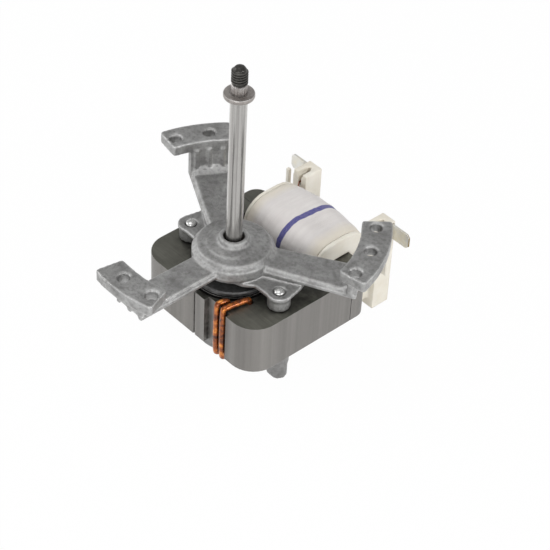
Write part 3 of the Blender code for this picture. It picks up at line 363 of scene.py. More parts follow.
def newMaterial(name):
    material = bpy.data.materials.new(name)
    material.use_nodes = True
    tree = material.node_tree
    shader = tree.nodes["Principled BSDF"]
    place = addNode(tree, "ShaderNodeTexCoord").outputs["Object"]
    return material, tree, shader, place


def useGroup(tree, group, **inputs):
    made = tree.nodes.new("ShaderNodeGroup")
    made.node_tree = group
    for name, value in inputs.items():
        socket = made.inputs[name.replace("_", " ")]
        if isinstance(value, bpy.types.NodeSocket):
            tree.links.new(value, socket)
        else:
            socket.default_value = value
    return made


def blendColor(tree, share, first, second):
    made = addNode(tree, "ShaderNodeMix", data_type="RGBA")
    for socket, value in ((made.inputs["Factor"], share), (made.inputs[6], first), (made.inputs[7], second)):
        if isinstance(value, bpy.types.NodeSocket):
            tree.links.new(value, socket)
        elif isinstance(value, tuple):
            socket.default_value = (*value, 1)
        else:
            socket.default_value = value
    return made.outputs[2]


def bump(tree, shader, height, strength, distance):
    made = addNode(
        tree, "ShaderNodeBump", {"Height": height, "Strength": strength, "Distance": distance}
    )
    tree.links.new(made.outputs["Normal"], shader.inputs["Normal"])


castPlan = {
    "body": (0.27, 0.268, 0.264),
    "pale": (0.50, 0.50, 0.495),
    "stainAndShade": (0.12, 0.116, 0.112),
    "wornAndHighlight": (0.88, 0.88, 0.87),
    "topShade": 0.2,
    "rearShade": 0.5,
    "metallic": 0.85,
    "roughness": (0.34, 0.52),
    "relief": 0.00012,
}


def buildCastMaterial(name, shade, groups):
    material, tree, shader, place = newMaterial(name)
    grain = useGroup(tree, groups["grain"], Vector=place, Blotch_Size=0.006, Grain_Size=0.0009)
    fine = useGroup(tree, groups["grain"], Vector=place, Blotch_Size=0.0013, Grain_Size=0.00035)
    wearAndHighlight = useGroup(tree, groups["wearAndHighlight"], Vector=place, Width=0.0009, Gain=7.5)
    shadeAndGrime = useGroup(tree, groups["shadeAndGrime"], Vector=place, Reach=0.005)
    shape = addNode(tree, "ShaderNodeNewGeometry")
    facing = addNode(tree, "ShaderNodeSeparateXYZ", {0: shape.outputs["True Normal"]})
    color = blendColor(tree, grain.outputs["Blotch"], castPlan["body"], castPlan["pale"])
    paintedTopShade = spread(tree, facing.outputs["Z"], 0.75, 0.97, 0.0, castPlan["topShade"])  # upward faces are darkened: painted shade
    color = blendColor(tree, paintedTopShade, color, castPlan["stainAndShade"])
    specks = spread(tree, fine.outputs["Blotch"], 0.35, 1.0, 0.0, 0.5)
    color = blendColor(tree, specks, color, castPlan["stainAndShade"])
    # bright edges: wear and painted highlight
    color = blendColor(tree, wearAndHighlight.outputs["Wear"], color, castPlan["wornAndHighlight"])
    # painted shade and dirt darken the casting's corners and crevices
    share = spread(tree, shadeAndGrime.outputs["Grime"], 0.4, 1.0, 0.0, 0.45)
    color = blendColor(tree, share, color, castPlan["stainAndShade"])
    # the whole casting is darkened by its share: painted shade
    color = blendColor(tree, shade, color, castPlan["stainAndShade"])
    tree.links.new(color, shader.inputs["Base Color"])
    shader.inputs["Metallic"].default_value = castPlan["metallic"]
    low, high = castPlan["roughness"]
    tree.links.new(spread(tree, fine.outputs["Grain"], 0.0, 1.0, low, high), shader.inputs["Roughness"])
    height = math2(tree, "ADD", math2(tree, "MULTIPLY", grain.outputs["Grain"], 0.7), fine.outputs["Grain"])
    bump(tree, shader, height, 0.55, castPlan["relief"])
    return material


corePlan = {
    "side": (0.29, 0.278, 0.263),
    "sideDark": (0.13, 0.124, 0.117),
    "top": (0.115, 0.114, 0.096),
    "topPale": (0.20, 0.198, 0.17),
    "sheet": 0.5,
    "metallic": 0.6,
}


def buildCoreMaterial(groups):
    material, tree, shader, place = newMaterial("coreSteel")
    parts = addNode(tree, "ShaderNodeSeparateXYZ", {0: place})
    shape = addNode(tree, "ShaderNodeNewGeometry")
    facing = addNode(tree, "ShaderNodeSeparateXYZ", {0: shape.outputs["True Normal"]})
    flat = spread(tree, math2(tree, "ABSOLUTE", facing.outputs["Z"], 0.0), 0.7, 0.9)
    sheetNumber = math2(tree, "FLOOR", math2(tree, "DIVIDE", parts.outputs["Z"], corePlan["sheet"] * mm), 0.0)
    tone = addNode(tree, "ShaderNodeTexWhiteNoise", {"W": sheetNumber}, noise_dimensions="1D")
    streak = useGroup(tree, groups["streak"], Vector=place, Stretch=(1.0, 1.0, 0.02), Size=0.0016)
    broad = useGroup(tree, groups["streak"], Vector=place, Stretch=(1.0, 1.0, 0.01), Size=0.009)
    rolled = useGroup(tree, groups["streak"], Vector=place, Stretch=(0.06, 1.0, 1.0), Size=0.0011)
    grain = useGroup(tree, groups["grain"], Vector=place, Blotch_Size=0.008, Grain_Size=0.0004)
    wearAndHighlight = useGroup(tree, groups["wearAndHighlight"], Vector=place, Width=0.0004, Gain=4.0)
    shadeAndGrime = useGroup(tree, groups["shadeAndGrime"], Vector=place, Reach=0.014)
    mixed = math2(tree, "MULTIPLY", tone.outputs["Value"], 0.02)
    mixed = math2(tree, "ADD", mixed, math2(tree, "MULTIPLY", streak.outputs["Streak"], 0.2), True)
    mixed = math2(tree, "ADD", mixed, math2(tree, "MULTIPLY", broad.outputs["Streak"], 0.6), True)
    side = blendColor(tree, mixed, corePlan["side"], corePlan["sideDark"])
    top = blendColor(
        tree, math2(tree, "MULTIPLY", rolled.outputs["Streak"], grain.outputs["Blotch"]),
        corePlan["top"], corePlan["topPale"],
    )
    color = blendColor(tree, flat, side, top)
    # lighter edges: wear and painted highlight
    color = blendColor(tree, math2(tree, "MULTIPLY", wearAndHighlight.outputs["Wear"], 0.5), color, (0.5, 0.49, 0.47))
    # painted shade and dirt, near black, in the core's corners and under the parts above it
    share = spread(tree, shadeAndGrime.outputs["Grime"], 0.25, 0.8, 0.0, 0.9)
    color = blendColor(tree, share, color, (0.02, 0.02, 0.018))
    tree.links.new(color, shader.inputs["Base Color"])
    shader.inputs["Metallic"].default_value = corePlan["metallic"]
    tree.links.new(spread(tree, flat, 0.0, 1.0, 0.42, 0.34), shader.inputs["Roughness"])
    lines = math2(tree, "MULTIPLY", streak.outputs["Streak"], 0.8)
    height = math2(tree, "ADD", grain.outputs["Grain"], lines)
    bump(tree, shader, height, 0.35, 0.00006)
    return material


steelPlans = {
    # the shaft's light and dark lengthwise streaks are grinding lines and painted reflection bands
    "shaftSteel": {
        "light": (0.66, 0.65, 0.63), "dark": (0.24, 0.23, 0.22), "metallic": 0.9,
        "roughness": (0.18, 0.26), "wearAndHighlight": 0.2, "blotch": 0.05,
        "relief": 0.08,
    },
    "threadSteel": {
        "light": (0.075, 0.073, 0.066), "dark": (0.022, 0.021, 0.019), "metallic": 0.7,
        "roughness": (0.3, 0.5), "wearAndHighlight": 0.5,
    },
    "collarSteel": {
        "light": (0.44, 0.41, 0.39), "dark": (0.20, 0.18, 0.168), "metallic": 0.8,
        "roughness": (0.25, 0.45), "wearAndHighlight": 1.0,
    },
    "rivetSteel": {
        "light": (0.78, 0.78, 0.77), "dark": (0.5, 0.5, 0.49), "metallic": 0.9,
        "roughness": (0.2, 0.36), "wearAndHighlight": 0.3,
    },
    "springSteel": {
        "light": (0.42, 0.42, 0.43), "dark": (0.2, 0.2, 0.21), "metallic": 0.95,
        "roughness": (0.22, 0.4), "wearAndHighlight": 0.6,
    },
    # the rotor is near black: a dark finish and painted shade under the hub; its edge colour is a turned rim
    # and a painted rim highlight
    "rotorSteel": {
        "light": (0.028, 0.027, 0.026), "dark": (0.008, 0.008, 0.008), "edge": (0.75, 0.74, 0.72),
        "metallic": 0.7, "roughness": (0.25, 0.45), "wearAndHighlight": 1.0,
    },
    # dark aluminium: a dark finish and painted shade under the hub
    "cageAluminium": {
        "light": (0.16, 0.16, 0.16), "dark": (0.06, 0.06, 0.06), "metallic": 0.7,
        "roughness": (0.35, 0.55), "wearAndHighlight": 0.5,
    },
    "bearingBronze": {
        "light": (0.42, 0.27, 0.12), "dark": (0.2, 0.12, 0.05), "metallic": 0.8,
        "roughness": (0.4, 0.6), "wearAndHighlight": 0.4,
    },
}


def buildSteelMaterial(name, groups):
    plan = steelPlans[name]
    material, tree, shader, place = newMaterial(name)
    streak = useGroup(tree, groups["streak"], Vector=place, Stretch=(1.0, 1.0, 0.004), Size=0.0014)
    grain = useGroup(tree, groups["grain"], Vector=place, Blotch_Size=0.003, Grain_Size=0.0003)
    blotch = plan.get("blotch", 0.3)
    wearAndHighlight = useGroup(tree, groups["wearAndHighlight"], Vector=place, Width=0.0004, Gain=5.0)
    shadeAndGrime = useGroup(tree, groups["shadeAndGrime"], Vector=place, Reach=0.003)
    tone = math2(tree, "MULTIPLY", streak.outputs["Streak"], 1.0 - blotch)
    tone = math2(tree, "ADD", tone, math2(tree, "MULTIPLY", grain.outputs["Blotch"], blotch), True)
    color = blendColor(tree, tone, plan["light"], plan["dark"])
    # brighter edges: wear and painted highlight
    bright = plan.get("edge") or tuple(min(0.85, part * 2.6 + 0.12) for part in plan["light"])
    color = blendColor(tree, math2(tree, "MULTIPLY", wearAndHighlight.outputs["Wear"], plan["wearAndHighlight"]), color, bright)
    # painted shade and dirt in corners and crevices
    share = spread(tree, shadeAndGrime.outputs["Grime"], 0.35, 1.0, 0.0, 0.7)
    color = blendColor(tree, share, color, (0.02, 0.018, 0.015))
    tree.links.new(color, shader.inputs["Base Color"])
    shader.inputs["Metallic"].default_value = plan["metallic"]
    low, high = plan["roughness"]
    tree.links.new(spread(tree, grain.outputs["Grain"], 0.0, 1.0, low, high), shader.inputs["Roughness"])
    height = math2(tree, "ADD", streak.outputs["Streak"], grain.outputs["Grain"])
    bump(tree, shader, height, plan.get("relief", 0.25), 0.00003)
    return material


copperPlan = {
    "bright": (0.86, 0.33, 0.05),
    "body": (0.40, 0.095, 0.008),
    "burntAndShade": (0.06, 0.012, 0.003),
}


def buildCopperMaterial(groups):
    material, tree, shader, place = newMaterial("varnishedCopper")
    grain = useGroup(tree, groups["grain"], Vector=place, Blotch_Size=0.0028, Grain_Size=0.0006)
    shadeAndGrime = useGroup(tree, groups["shadeAndGrime"], Vector=place, Reach=0.0025)
    share = spread(tree, grain.outputs["Blotch"], 0.1, 0.6)
    color = blendColor(tree, share, copperPlan["burntAndShade"], copperPlan["body"])
    color = blendColor(tree, spread(tree, grain.outputs["Blotch"], 0.55, 0.95), color, copperPlan["bright"])
    # painted shade and dirt in the rings' crevices, in the burnt colour
    share = spread(tree, shadeAndGrime.outputs["Grime"], 0.3, 1.0, 0.0, 0.85)
    color = blendColor(tree, share, color, copperPlan["burntAndShade"])
    tree.links.new(color, shader.inputs["Base Color"])
    shader.inputs["Metallic"].default_value = 0.75
    tree.links.new(spread(tree, grain.outputs["Grain"], 0.0, 1.0, 0.22, 0.42), shader.inputs["Roughness"])
    shader.inputs["Coat Weight"].default_value = 0.6
    shader.inputs["Coat Roughness"].default_value = 0.12
    bump(tree, shader, grain.outputs["Blotch"], 0.4, 0.00012)
    return material


tapePlan = {
    "cloth": (0.79, 0.762, 0.742),
    "shade": (0.645, 0.605, 0.59),
    "cream": (0.77, 0.715, 0.62),
    "line": (0.022, 0.022, 0.23),
    "lineAt": 2.5,
    "lineSlant": 0.08,
    "lineMiddle": 38.0,
    "lineHalfWidth": 1.1,
    "creamFrom": 12.5,
    "thread": 0.28,
}


def buildTapeMaterial(groups):
    material, tree, shader, place = newMaterial("clothTape")
    parts = addNode(tree, "ShaderNodeSeparateXYZ", {0: place})
    streak = useGroup(tree, groups["streak"], Vector=place, Stretch=(0.25, 1.0, 1.0), Size=0.003)
    pulls = useGroup(tree, groups["streak"], Vector=place, Stretch=(1.0, 0.12, 0.12), Size=0.0016)
    grain = useGroup(tree, groups["grain"], Vector=place, Blotch_Size=0.007, Grain_Size=0.0005)
    shadeAndGrime = useGroup(tree, groups["shadeAndGrime"], Vector=place, Reach=0.005)
    shade = math2(tree, "MULTIPLY", pulls.outputs["Streak"], 0.45)
    shade = math2(tree, "ADD", shade, math2(tree, "MULTIPLY", grain.outputs["Blotch"], 0.35), True)
    color = blendColor(tree, shade, tapePlan["cloth"], tapePlan["shade"])
    far = math2(tree, "ABSOLUTE", parts.outputs["X"], 0.0)
    far = math2(tree, "ADD", far, math2(tree, "MULTIPLY", streak.outputs["Streak"], 1.2 * mm))
    color = blendColor(
        tree, spread(tree, far, tapePlan["creamFrom"] * mm, (tapePlan["creamFrom"] + 4.0) * mm),
        color, tapePlan["cream"],
    )
    wobble = math2(tree, "MULTIPLY", math2(tree, "SUBTRACT", streak.outputs["Streak"], 0.5), 0.5 * mm)
    aside = math2(tree, "SUBTRACT", parts.outputs["Y"], tapePlan["lineMiddle"] * mm)
    aside = math2(tree, "SUBTRACT", wobble, math2(tree, "MULTIPLY", aside, tapePlan["lineSlant"]))
    offset = math2(tree, "SUBTRACT", math2(tree, "ADD", parts.outputs["X"], aside), tapePlan["lineAt"] * mm)
    distance = math2(tree, "ABSOLUTE", offset, 0.0)
    inLine = spread(
        tree, distance, (tapePlan["lineHalfWidth"] - 0.12) * mm,
        (tapePlan["lineHalfWidth"] + 0.12) * mm, 1.0, 0.0,
    )
    inLine = math2(tree, "MULTIPLY", inLine, spread(tree, grain.outputs["Grain"], 0.0, 1.0, 0.8, 1.0))
    color = blendColor(tree, inLine, color, tapePlan["line"])
    # painted shade and dirt in the tape's creases and corners
    share = spread(tree, shadeAndGrime.outputs["Grime"], 0.35, 1.0, 0.0, 0.6)
    color = blendColor(tree, share, color, (0.34, 0.30, 0.26))
    tree.links.new(color, shader.inputs["Base Color"])
    tree.links.new(spread(tree, grain.outputs["Grain"], 0.0, 1.0, 0.75, 0.95), shader.inputs["Roughness"])
    shader.inputs["Sheen Weight"].default_value = 0.25
    across = addNode(
        tree, "ShaderNodeTexWave",
        {"Vector": place, "Scale": 1 / (tapePlan["thread"] * 3.2 * mm), "Distortion": 0.6},
        wave_type="BANDS", bands_direction="X",
    )
    around = addNode(
        tree, "ShaderNodeTexWave",
        {"Vector": place, "Scale": 1 / (tapePlan["thread"] * 3.2 * mm), "Distortion": 0.6},
        wave_type="BANDS", bands_direction="Y",
    )
    weave = math2(tree, "MAXIMUM", across.outputs["Fac"], around.outputs["Fac"])
    height = math2(tree, "ADD", math2(tree, "MULTIPLY", weave, 0.25), pulls.outputs["Streak"])
    bump(tree, shader, height, 0.6, 0.00025)
    return material


plasticPlans = {
    "bobbinPlastic": {
        "body": (0.86, 0.83, 0.755), "shade": (0.765, 0.715, 0.61), "shadeAndGrime": (0.30, 0.25, 0.17),
        "roughness": (0.42, 0.6), "blotch": 0.009,
    },
    "washerFibre": {
        "body": (0.25, 0.12, 0.06), "shade": (0.16, 0.07, 0.03), "shadeAndGrime": (0.05, 0.02, 0.01),
        "roughness": (0.6, 0.8), "blotch": 0.003,
    },
    "oilFelt": {
        "body": (0.5, 0.46, 0.38), "shade": (0.36, 0.32, 0.25), "shadeAndGrime": (0.1, 0.08, 0.05),
        "roughness": (0.85, 1.0), "blotch": 0.002,
    },
}


def buildPlasticMaterial(name, groups):
    plan = plasticPlans[name]
    material, tree, shader, place = newMaterial(name)
    grain = useGroup(tree, groups["grain"], Vector=place, Blotch_Size=plan["blotch"], Grain_Size=0.0005)
    shadeAndGrime = useGroup(tree, groups["shadeAndGrime"], Vector=place, Reach=0.004)
    color = blendColor(tree, grain.outputs["Blotch"], plan["body"], plan["shade"])
    # painted shade and dirt in corners and crevices
    color = blendColor(tree, spread(tree, shadeAndGrime.outputs["Grime"], 0.35, 1.0, 0.0, 0.7), color, plan["shadeAndGrime"])
    tree.links.new(color, shader.inputs["Base Color"])
    low, high = plan["roughness"]
    tree.links.new(spread(tree, grain.outputs["Grain"], 0.0, 1.0, low, high), shader.inputs["Roughness"])
    bump(tree, shader, grain.outputs["Grain"], 0.3, 0.00005)
    return material


bladePlan = {"body": (0.74, 0.70, 0.58), "tin": (0.75, 0.75, 0.73), "cut": (0.24, 0.17, 0.07)}


def buildBladeMaterial(groups):
    material, tree, shader, place = newMaterial("tinnedBrass")
    grain = useGroup(tree, groups["grain"], Vector=place, Blotch_Size=0.003, Grain_Size=0.0004)
    shape = addNode(tree, "ShaderNodeNewGeometry")
    facing = addNode(tree, "ShaderNodeSeparateXYZ", {0: shape.outputs["True Normal"]})
    color = blendColor(tree, grain.outputs["Blotch"], bladePlan["body"], bladePlan["tin"])
    cut = spread(tree, math2(tree, "ABSOLUTE", facing.outputs["X"], 0.0), 0.5, 0.9)
    color = blendColor(tree, cut, color, bladePlan["cut"])
    tree.links.new(color, shader.inputs["Base Color"])
    shader.inputs["Metallic"].default_value = 0.7
    tree.links.new(spread(tree, grain.outputs["Grain"], 0.0, 1.0, 0.28, 0.45), shader.inputs["Roughness"])
    bump(tree, shader, grain.outputs["Grain"], 0.3, 0.00004)
    return material


# Castings: the CAD shape with the soft edges of a die casting

castingPlan = {
    "frontCasting": {"node": "front_bracket", "voxel": 0.40, "rounds": 5},
    "rearCasting": {"node": "rear_bracket", "voxel": 0.40, "rounds": 4},
}
hubPlan = {"inner": 6.0, "outer": 12.8, "above": 44.7, "foot": 45.0, "rise": 1.1, "share": 0.6}
blendPlan = {
    "armAngles": (270, 150, 30), "footAt": 44.0, "footZ": 42.3, "footSize": 3.2, "footWidth": 13.0,
    "webX": 8.3, "webY": 0.5, "webRadius": 8.6, "webBottom": 36.3, "webTop": 38.0, "wellRadius": 11.6,
}


def castingBlends():  # the sloped foot of each riser, and the webs' run-in at the hub
    plan = blendPlan
    made = []
    for angle in plan["armAngles"]:
        bpy.ops.object.select_all(action="DESELECT")
        bpy.ops.mesh.primitive_cube_add(size=1)
        foot = bpy.context.object
        size = plan["footSize"] * mm
        foot.scale = (size, plan["footWidth"] * mm, size)
        foot.rotation_euler = (0, math.radians(45), 0)
        foot.location = (plan["footAt"] * mm, 0, plan["footZ"] * mm)
        settle(foot)
        foot.rotation_euler = (0, 0, math.radians(angle))
        made.append(settle(foot))
    height = plan["webTop"] - plan["webBottom"]
    middle = (plan["webTop"] + plan["webBottom"]) / 2
    for side in (1, -1):
        bpy.ops.object.select_all(action="DESELECT")
        bpy.ops.mesh.primitive_cylinder_add(vertices=64, radius=plan["webRadius"] * mm, depth=height * mm)
        web = bpy.context.object
        web.location = (side * plan["webX"] * mm, plan["webY"] * mm, middle * mm)
        made.append(settle(web))
        bpy.ops.object.select_all(action="DESELECT")
        radius = plan["wellRadius"] * mm  # inside the skirt's wall, so the hub's well stays open
        bpy.ops.mesh.primitive_cylinder_add(vertices=96, radius=radius, depth=2 * height * mm)
        well = bpy.context.object
        well.location = (0, 0, middle * mm)
        applyModifier(web, "BOOLEAN", operation="DIFFERENCE", object=settle(well), solver="EXACT")
        bpy.data.meshes.remove(well.data)
    return made


def softenHub(thing):  # the step on the hub's disc is worn down to a shallow cone
    plan = hubPlan
    for vertex in thing.data.vertices:
        radius = math.hypot(vertex.co.x, vertex.co.y) / mm
        if plan["inner"] < radius < plan["outer"] and vertex.co.z > plan["above"] * mm:
            along = (plan["outer"] - radius) / (plan["outer"] - plan["inner"])
            cone = (plan["foot"] + plan["rise"] * along) * mm
            vertex.co.z += (cone - vertex.co.z) * plan["share"]


def buildCasting(name, material):
    plan = castingPlan[name]
    thing = copyOfNode(plan["node"], name)
    if name == "frontCasting":
        thing = joined(name, [thing] + castingBlends())
    applyModifier(thing, "REMESH", mode="VOXEL", voxel_size=plan["voxel"] * mm, adaptivity=0.0)
    if name == "frontCasting":
        softenHub(thing)
    applyModifier(thing, "SMOOTH", factor=0.5, iterations=plan["rounds"])
    smoothShade(thing, 60)
    return addPiece(thing, "stator", material, "cast_aluminium", plan["node"])


# Bobbin: moulded in one, with softly rounded edges

bobbinPlan = {"voxel": 0.36, "rounds": 3}


def buildBobbin(material):
    thing = copyOfNode("bobbin", "mouldedBobbin")
    applyModifier(thing, "REMESH", mode="VOXEL", voxel_size=bobbinPlan["voxel"] * mm, adaptivity=0.0)
    applyModifier(thing, "SMOOTH", factor=0.5, iterations=bobbinPlan["rounds"])
    smoothShade(thing, 60)
    return addPiece(thing, "stator", material, "bobbin_plastic", "bobbin")


# Core: one sheet is cut from the CAD stack's top face and stacked up again

stackPlan = {"sheet": 0.5, "metal": 0.49, "slip": 0.006}


def buildStack(node, name, material):
    low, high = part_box(node)
    thing = copyOfNode(node, name)
    editMesh(thing)
    bpy.ops.mesh.dissolve_limited(angle_limit=math.radians(1))
    pickFaces(thing, lambda face: face.normal.z < 0.9 or face.center.z < high.z - 0.01 * mm)
    bpy.ops.mesh.delete(type="FACE")
    leaveMesh()
    applyModifier(thing, "SOLIDIFY", thickness=stackPlan["metal"] * mm, offset=-1)
    count = round((high.z - low.z) / (stackPlan["sheet"] * mm))
    applyModifier(
        thing, "ARRAY", count=count, use_relative_offset=False, use_constant_offset=True,
        constant_offset_displace=(0, 0, -stackPlan["sheet"] * mm),
    )
    for vertex in thing.data.vertices:  # no two sheets of a real stack lie quite in line
        sheet = int((high.z - vertex.co.z + 0.01 * mm) / (stackPlan["sheet"] * mm))
        vertex.co.x += stackPlan["slip"] * mm * math.sin(sheet * 12.9898)
        vertex.co.y += stackPlan["slip"] * mm * math.sin(sheet * 78.233 + 1.7)
    smoothShade(thing, 25)
    return addPiece(thing, "stator", material, "core_steel", node)


# Shading rings: heavy round copper with soft bends

def buildRing(node, name, material):
    thing = copyOfNode(node, name)
    editMesh(thing)
    bpy.ops.mesh.tris_convert_to_quads(face_threshold=math.radians(60), shape_threshold=math.radians(60))
    leaveMesh()
    applyModifier(thing, "SUBSURF", levels=2, render_levels=2)
    smoothShade(thing, 80)
    return addPiece(thing, "stator", material, "varnished_copper", node)


# Shaft: ground bar, pressed collar, splined neck and a real thread

shaftPlan = {
    "radius": 2.95, "bottom": 1.6, "collarRadius": 5.3, "collarTop": 109.4, "collarThickness": 1.7,
    "neckRadius": 2.75, "neckLength": 3.4, "threadRadius": 2.85, "threadLength": 7.1, "pitch": 1.0,
    "threadDepth": 0.55, "sides": 64, "splines": 18, "splineDepth": 0.14,
}


def buildShaft(materials):
    plan = shaftPlan
    collarBottom = plan["collarTop"] - plan["collarThickness"]
    neckTop = plan["collarTop"] + plan["neckLength"]
    tip = neckTop + plan["threadLength"]
    bar = turnedPiece(
        "fanShaftBar",
        [(plan["radius"] - 0.4, plan["bottom"]), (plan["radius"], plan["bottom"] + 0.4),
         (plan["radius"], 30), (plan["radius"], 60), (plan["radius"], 90),
         (plan["radius"], collarBottom + 0.1)],
        plan["sides"],
    )
    smoothShade(bar)
    addPiece(bar, "rotor", materials["shaftSteel"], "shaft_steel", "shaft")
    ring = turnedPiece(
        "shaftCollar",
        [(plan["radius"] + 0.3, collarBottom), (plan["collarRadius"] - 0.45, collarBottom),
         (plan["collarRadius"] - 0.12, collarBottom + 0.12), (plan["collarRadius"], collarBottom + 0.45),
         (plan["collarRadius"], plan["collarTop"] - 0.4),
         (plan["collarRadius"] - 0.12, plan["collarTop"] - 0.12),
         (plan["collarRadius"] - 0.4, plan["collarTop"]), (plan["radius"] + 0.35, plan["collarTop"]),
         (plan["radius"] + 0.2, plan["collarTop"] - 0.15)],
        plan["sides"],
    )
    smoothShade(ring, 40)
    addPiece(ring, "rotor", materials["collarSteel"], "shaft_steel")
    neck = turnedPiece(
        "splinedNeck",
        [(plan["neckRadius"], plan["collarTop"] - 0.2), (plan["neckRadius"], neckTop - 0.3),
         (plan["neckRadius"] - 0.3, neckTop)],
        plan["splines"] * 4,
    )
    for vertex in neck.data.vertices:  # every other pair of columns is pressed in
        angle = math.atan2(vertex.co.y, vertex.co.x) / (2 * math.pi) * plan["splines"]
        if math.hypot(vertex.co.x, vertex.co.y) > 1.0 * mm and (angle % 1.0) < 0.45:
            share = 1 - plan["splineDepth"] / plan["neckRadius"]
            vertex.co.x *= share
            vertex.co.y *= share
    smoothShade(neck, 30)
    addPiece(neck, "rotor", materials["collarSteel"], "shaft_steel")
    root = plan["threadRadius"] - plan["threadDepth"]
    core = turnedPiece(
        "threadCore",
        [(root, neckTop - 0.4), (root + 0.1, tip - 1.9), (root - 0.15, tip - 1.1), (root - 0.6, tip - 0.5),
         (root - 1.2, tip - 0.12), (root - 1.8, tip)],
        plan["sides"],
    )
    smoothShade(core)
    ridge = buildThreadRidge(root, neckTop + 0.1, plan["threadLength"] - 2.1)
    thread = joined("fanThread", [core, ridge])
    addPiece(thread, "rotor", materials["threadSteel"], "shaft_steel")


def buildThreadRidge(root, start, length):
    plan = shaftPlan
    pitch, crest = plan["pitch"], plan["threadRadius"]
    mesh = bpy.data.meshes.new("threadRidge")
    outline = [(root - 0.15, 0.04), (crest, pitch * 0.42), (crest, pitch * 0.58), (root - 0.15, pitch * 0.96)]
    corners = [(r * mm, 0, (start + z) * mm) for r, z in outline]
    mesh.from_pydata(corners, [(0, 1), (1, 2), (2, 3), (3, 0)], [])
    thing = bpy.data.objects.new("threadRidge", mesh)
    bpy.context.scene.collection.objects.link(thing)
    turns = int(length / pitch)
    applyModifier(
        thing, "SCREW", axis="Z", screw_offset=pitch * mm, iterations=turns, steps=40, render_steps=40,
        use_merge_vertices=False,
    )
    onlySelect(thing)
    bpy.ops.object.mode_set(mode="EDIT")
    bpy.ops.mesh.select_mode(type="EDGE")
    bpy.ops.mesh.select_all(action="DESELECT")
    bpy.ops.mesh.select_non_manifold(extend=False)
    bpy.ops.mesh.edge_face_add()
    bpy.ops.mesh.select_all(action="SELECT")
    bpy.ops.mesh.normals_make_consistent(inside=False)
    leaveMesh()
    smoothShade(thing, 30)
    return thing


# Rivets: a domed head at each end of a round shank

rivetPlan = {
    "x": 23.7, "y": 0.5, "head": 1.95, "shank": 1.6, "top": 37.8, "bottom": 1.3, "rise": 1.1, "sides": 32,
}


def buildRivet(side, node, name, material):
    plan = rivetPlan
    profile = []
    for step in range(6):
        angle = math.radians(5 + 85 * step / 5)
        profile.append((plan["head"] * math.sin(angle), plan["bottom"] - plan["rise"] * math.cos(angle)))
    profile += [(plan["shank"], plan["bottom"]), (plan["shank"], plan["top"])]
    for step in range(5, -1, -1):
        angle = math.radians(5 + 85 * step / 5)
        profile.append((plan["head"] * math.sin(angle), plan["top"] + plan["rise"] * math.cos(angle)))
    thing = turnedPiece(name, profile, plan["sides"])
    thing.location = (side * plan["x"] * mm, plan["y"] * mm, 0)
    settle(thing)
    smoothShade(thing, 50)
    return addPiece(thing, "stator", material, "rivet_steel", node)


# Coil: the cloth sleeve gets the soft creases of tape wound by hand

tapeShapePlan = {"crease": 0.22, "creaseLength": 5.0, "endBand": 0.8, "endReach": 0.3}


def buildTape(material):
    thing = copyOfNode("coil_tape", "woundTape")
    editMesh(thing)
    bpy.ops.mesh.tris_convert_to_quads(face_threshold=math.radians(40), shape_threshold=math.radians(60))
    leaveMesh()
    applyModifier(thing, "SUBSURF", subdivision_type="SIMPLE", levels=2, render_levels=2)
    applyModifier(thing, "SMOOTH", factor=0.5, iterations=6)
    low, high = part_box("coil_tape")
    middleY, middleZ = (low.y + high.y) / 2, (low.z + high.z) / 2
    plan = tapeShapePlan
    for vertex in thing.data.vertices:
        point = vertex.co
        outward = Vector((0, point.y - middleY, point.z - middleZ)).normalized()
        size = plan["creaseLength"] * mm
        spot = Vector((point.x / (size * 0.55), point.y / (size * 2.0), point.z / (size * 2.0)))
        crease = noise.noise(spot) + 0.5 * noise.noise(spot * 2.3 + Vector((7, 3, 1)))
        vertex.co = point + outward * plan["crease"] * mm * (crease - 0.6)
        past = abs(vertex.co.x) - (high.x - plan["endBand"] * mm)
        if past > 0:  # the cloth is drawn out to the cheeks
            vertex.co.x += math.copysign(plan["endReach"] * mm * min(1.0, past / (0.5 * mm)), vertex.co.x)
    smoothShade(thing, 60)
    return addPiece(thing, "stator", material, "cloth_tape", "coil_tape")


# Terminal blades: sheet brass with a rolled edge, and their small hole closed

bladeEdge = {"inside": 0.6, "wallArea": 1.2, "round": 0.12}


def buildBlade(node, name, material):
    thing = copyOfNode(node, name)
    low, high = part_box(node)
    inside = bladeEdge["inside"] * mm

    def inHole(face):  # the hole's wall faces sideways, away from the blade's own edges
        clear = all(low[axis] + inside < face.center[axis] < high[axis] - inside for axis in (0, 2))
        return clear and abs(face.normal.y) < 0.3 and face.area < bladeEdge["wallArea"] * mm * mm

    editMesh(thing, "DESELECT")
    pickFaces(thing, inHole)
    bpy.ops.mesh.delete(type="FACE")
    bpy.ops.mesh.select_all(action="SELECT")
    bpy.ops.mesh.fill_holes(sides=0)
    bpy.ops.mesh.dissolve_limited(angle_limit=math.radians(1))
    leaveMesh()
    applyModifier(
        thing, "BEVEL", width=bladeEdge["round"] * mm, segments=2, limit_method="ANGLE",
        angle_limit=math.radians(50),
    )
    smoothShade(thing, 30)
    return addPiece(thing, "stator", material, "tinned_brass", node)


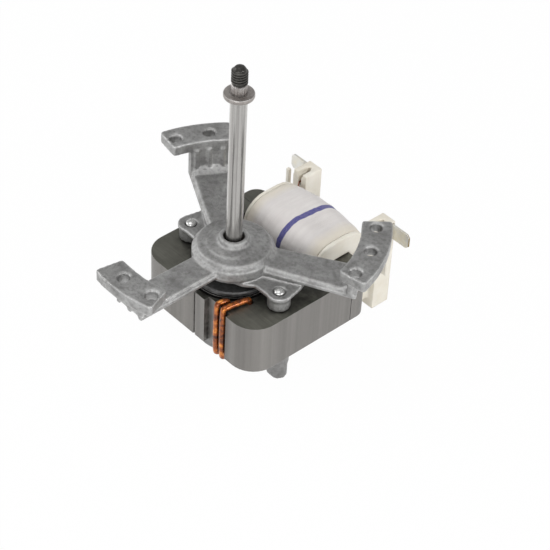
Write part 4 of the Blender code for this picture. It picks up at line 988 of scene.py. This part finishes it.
def main():
    setCamera()
    setLamps()
    setWorld()
    setFloor()
    print("stage set")
    groups = {
        "grain": buildGrainGroup(), "wearAndHighlight": buildWearGroup(),
        "shadeAndGrime": buildGrimeGroup(), "streak": buildStreakGroup(),
    }
    materials = {name: buildSteelMaterial(name, groups) for name in steelPlans}
    materials.update({name: buildPlasticMaterial(name, groups) for name in plasticPlans})
    materials["frontCasting"] = buildCastMaterial("frontCastMetal", 0.0, groups)
    # the rear casting gets painted shade over its whole surface
    materials["rearCasting"] = buildCastMaterial("rearCastMetal", castPlan["rearShade"], groups)
    materials["core"] = buildCoreMaterial(groups)
    materials["copper"] = buildCopperMaterial(groups)
    materials["tape"] = buildTapeMaterial(groups)
    materials["blade"] = buildBladeMaterial(groups)
    print("materials made")
    for name in castingPlan:
        buildCasting(name, materials[name])
    print("castings made")
    buildBobbin(materials["bobbinPlastic"])
    buildStack("stator_frame", "frameSheets", materials["core"])
    buildStack("stator_yoke", "yokeSheets", materials["core"])
    print("core and bobbin made")
    for pole in ("near", "far"):
        for where in ("inner", "outer"):
            buildRing(f"shading_ring_{pole}_{where}", f"{pole}{where.capitalize()}Ring", materials["copper"])
    buildShaft(materials)
    buildRivet(1, "rivet_right", "rightRivet", materials["rivetSteel"])
    buildRivet(-1, "rivet_left", "leftRivet", materials["rivetSteel"])
    buildTape(materials["tape"])
    buildBlade("terminal_blade_left", "leftBlade", materials["blade"])
    buildBlade("terminal_blade_right", "rightBlade", materials["blade"])
    print("rings, shaft, rivets, tape and blades made")
    finishes = {
        "rotor_stack": "rotorSteel", "rotor_cage": "cageAluminium", "front_shaft_spacer": "springSteel",
        "rear_shaft_spacer": "springSteel", "front_thrust_washer": "washerFibre",
        "rear_thrust_washer": "washerFibre", "front_bearing": "bearingBronze",
        "rear_bearing": "bearingBronze",
        "front_bearing_clip": "springSteel", "rear_bearing_clip": "springSteel", "front_oil_felt": "oilFelt",
        "rear_oil_felt": "oilFelt", "coil_winding": "copper", "coil_lead_left": "copper",
        "coil_lead_right": "copper",
    }
    for node, finish in finishes.items():
        dress(nodes[node], materials[finish])
    print("carried-over nodes dressed")
    scene = bpy.context.scene
    scene.view_settings.view_transform = "Standard"


main()
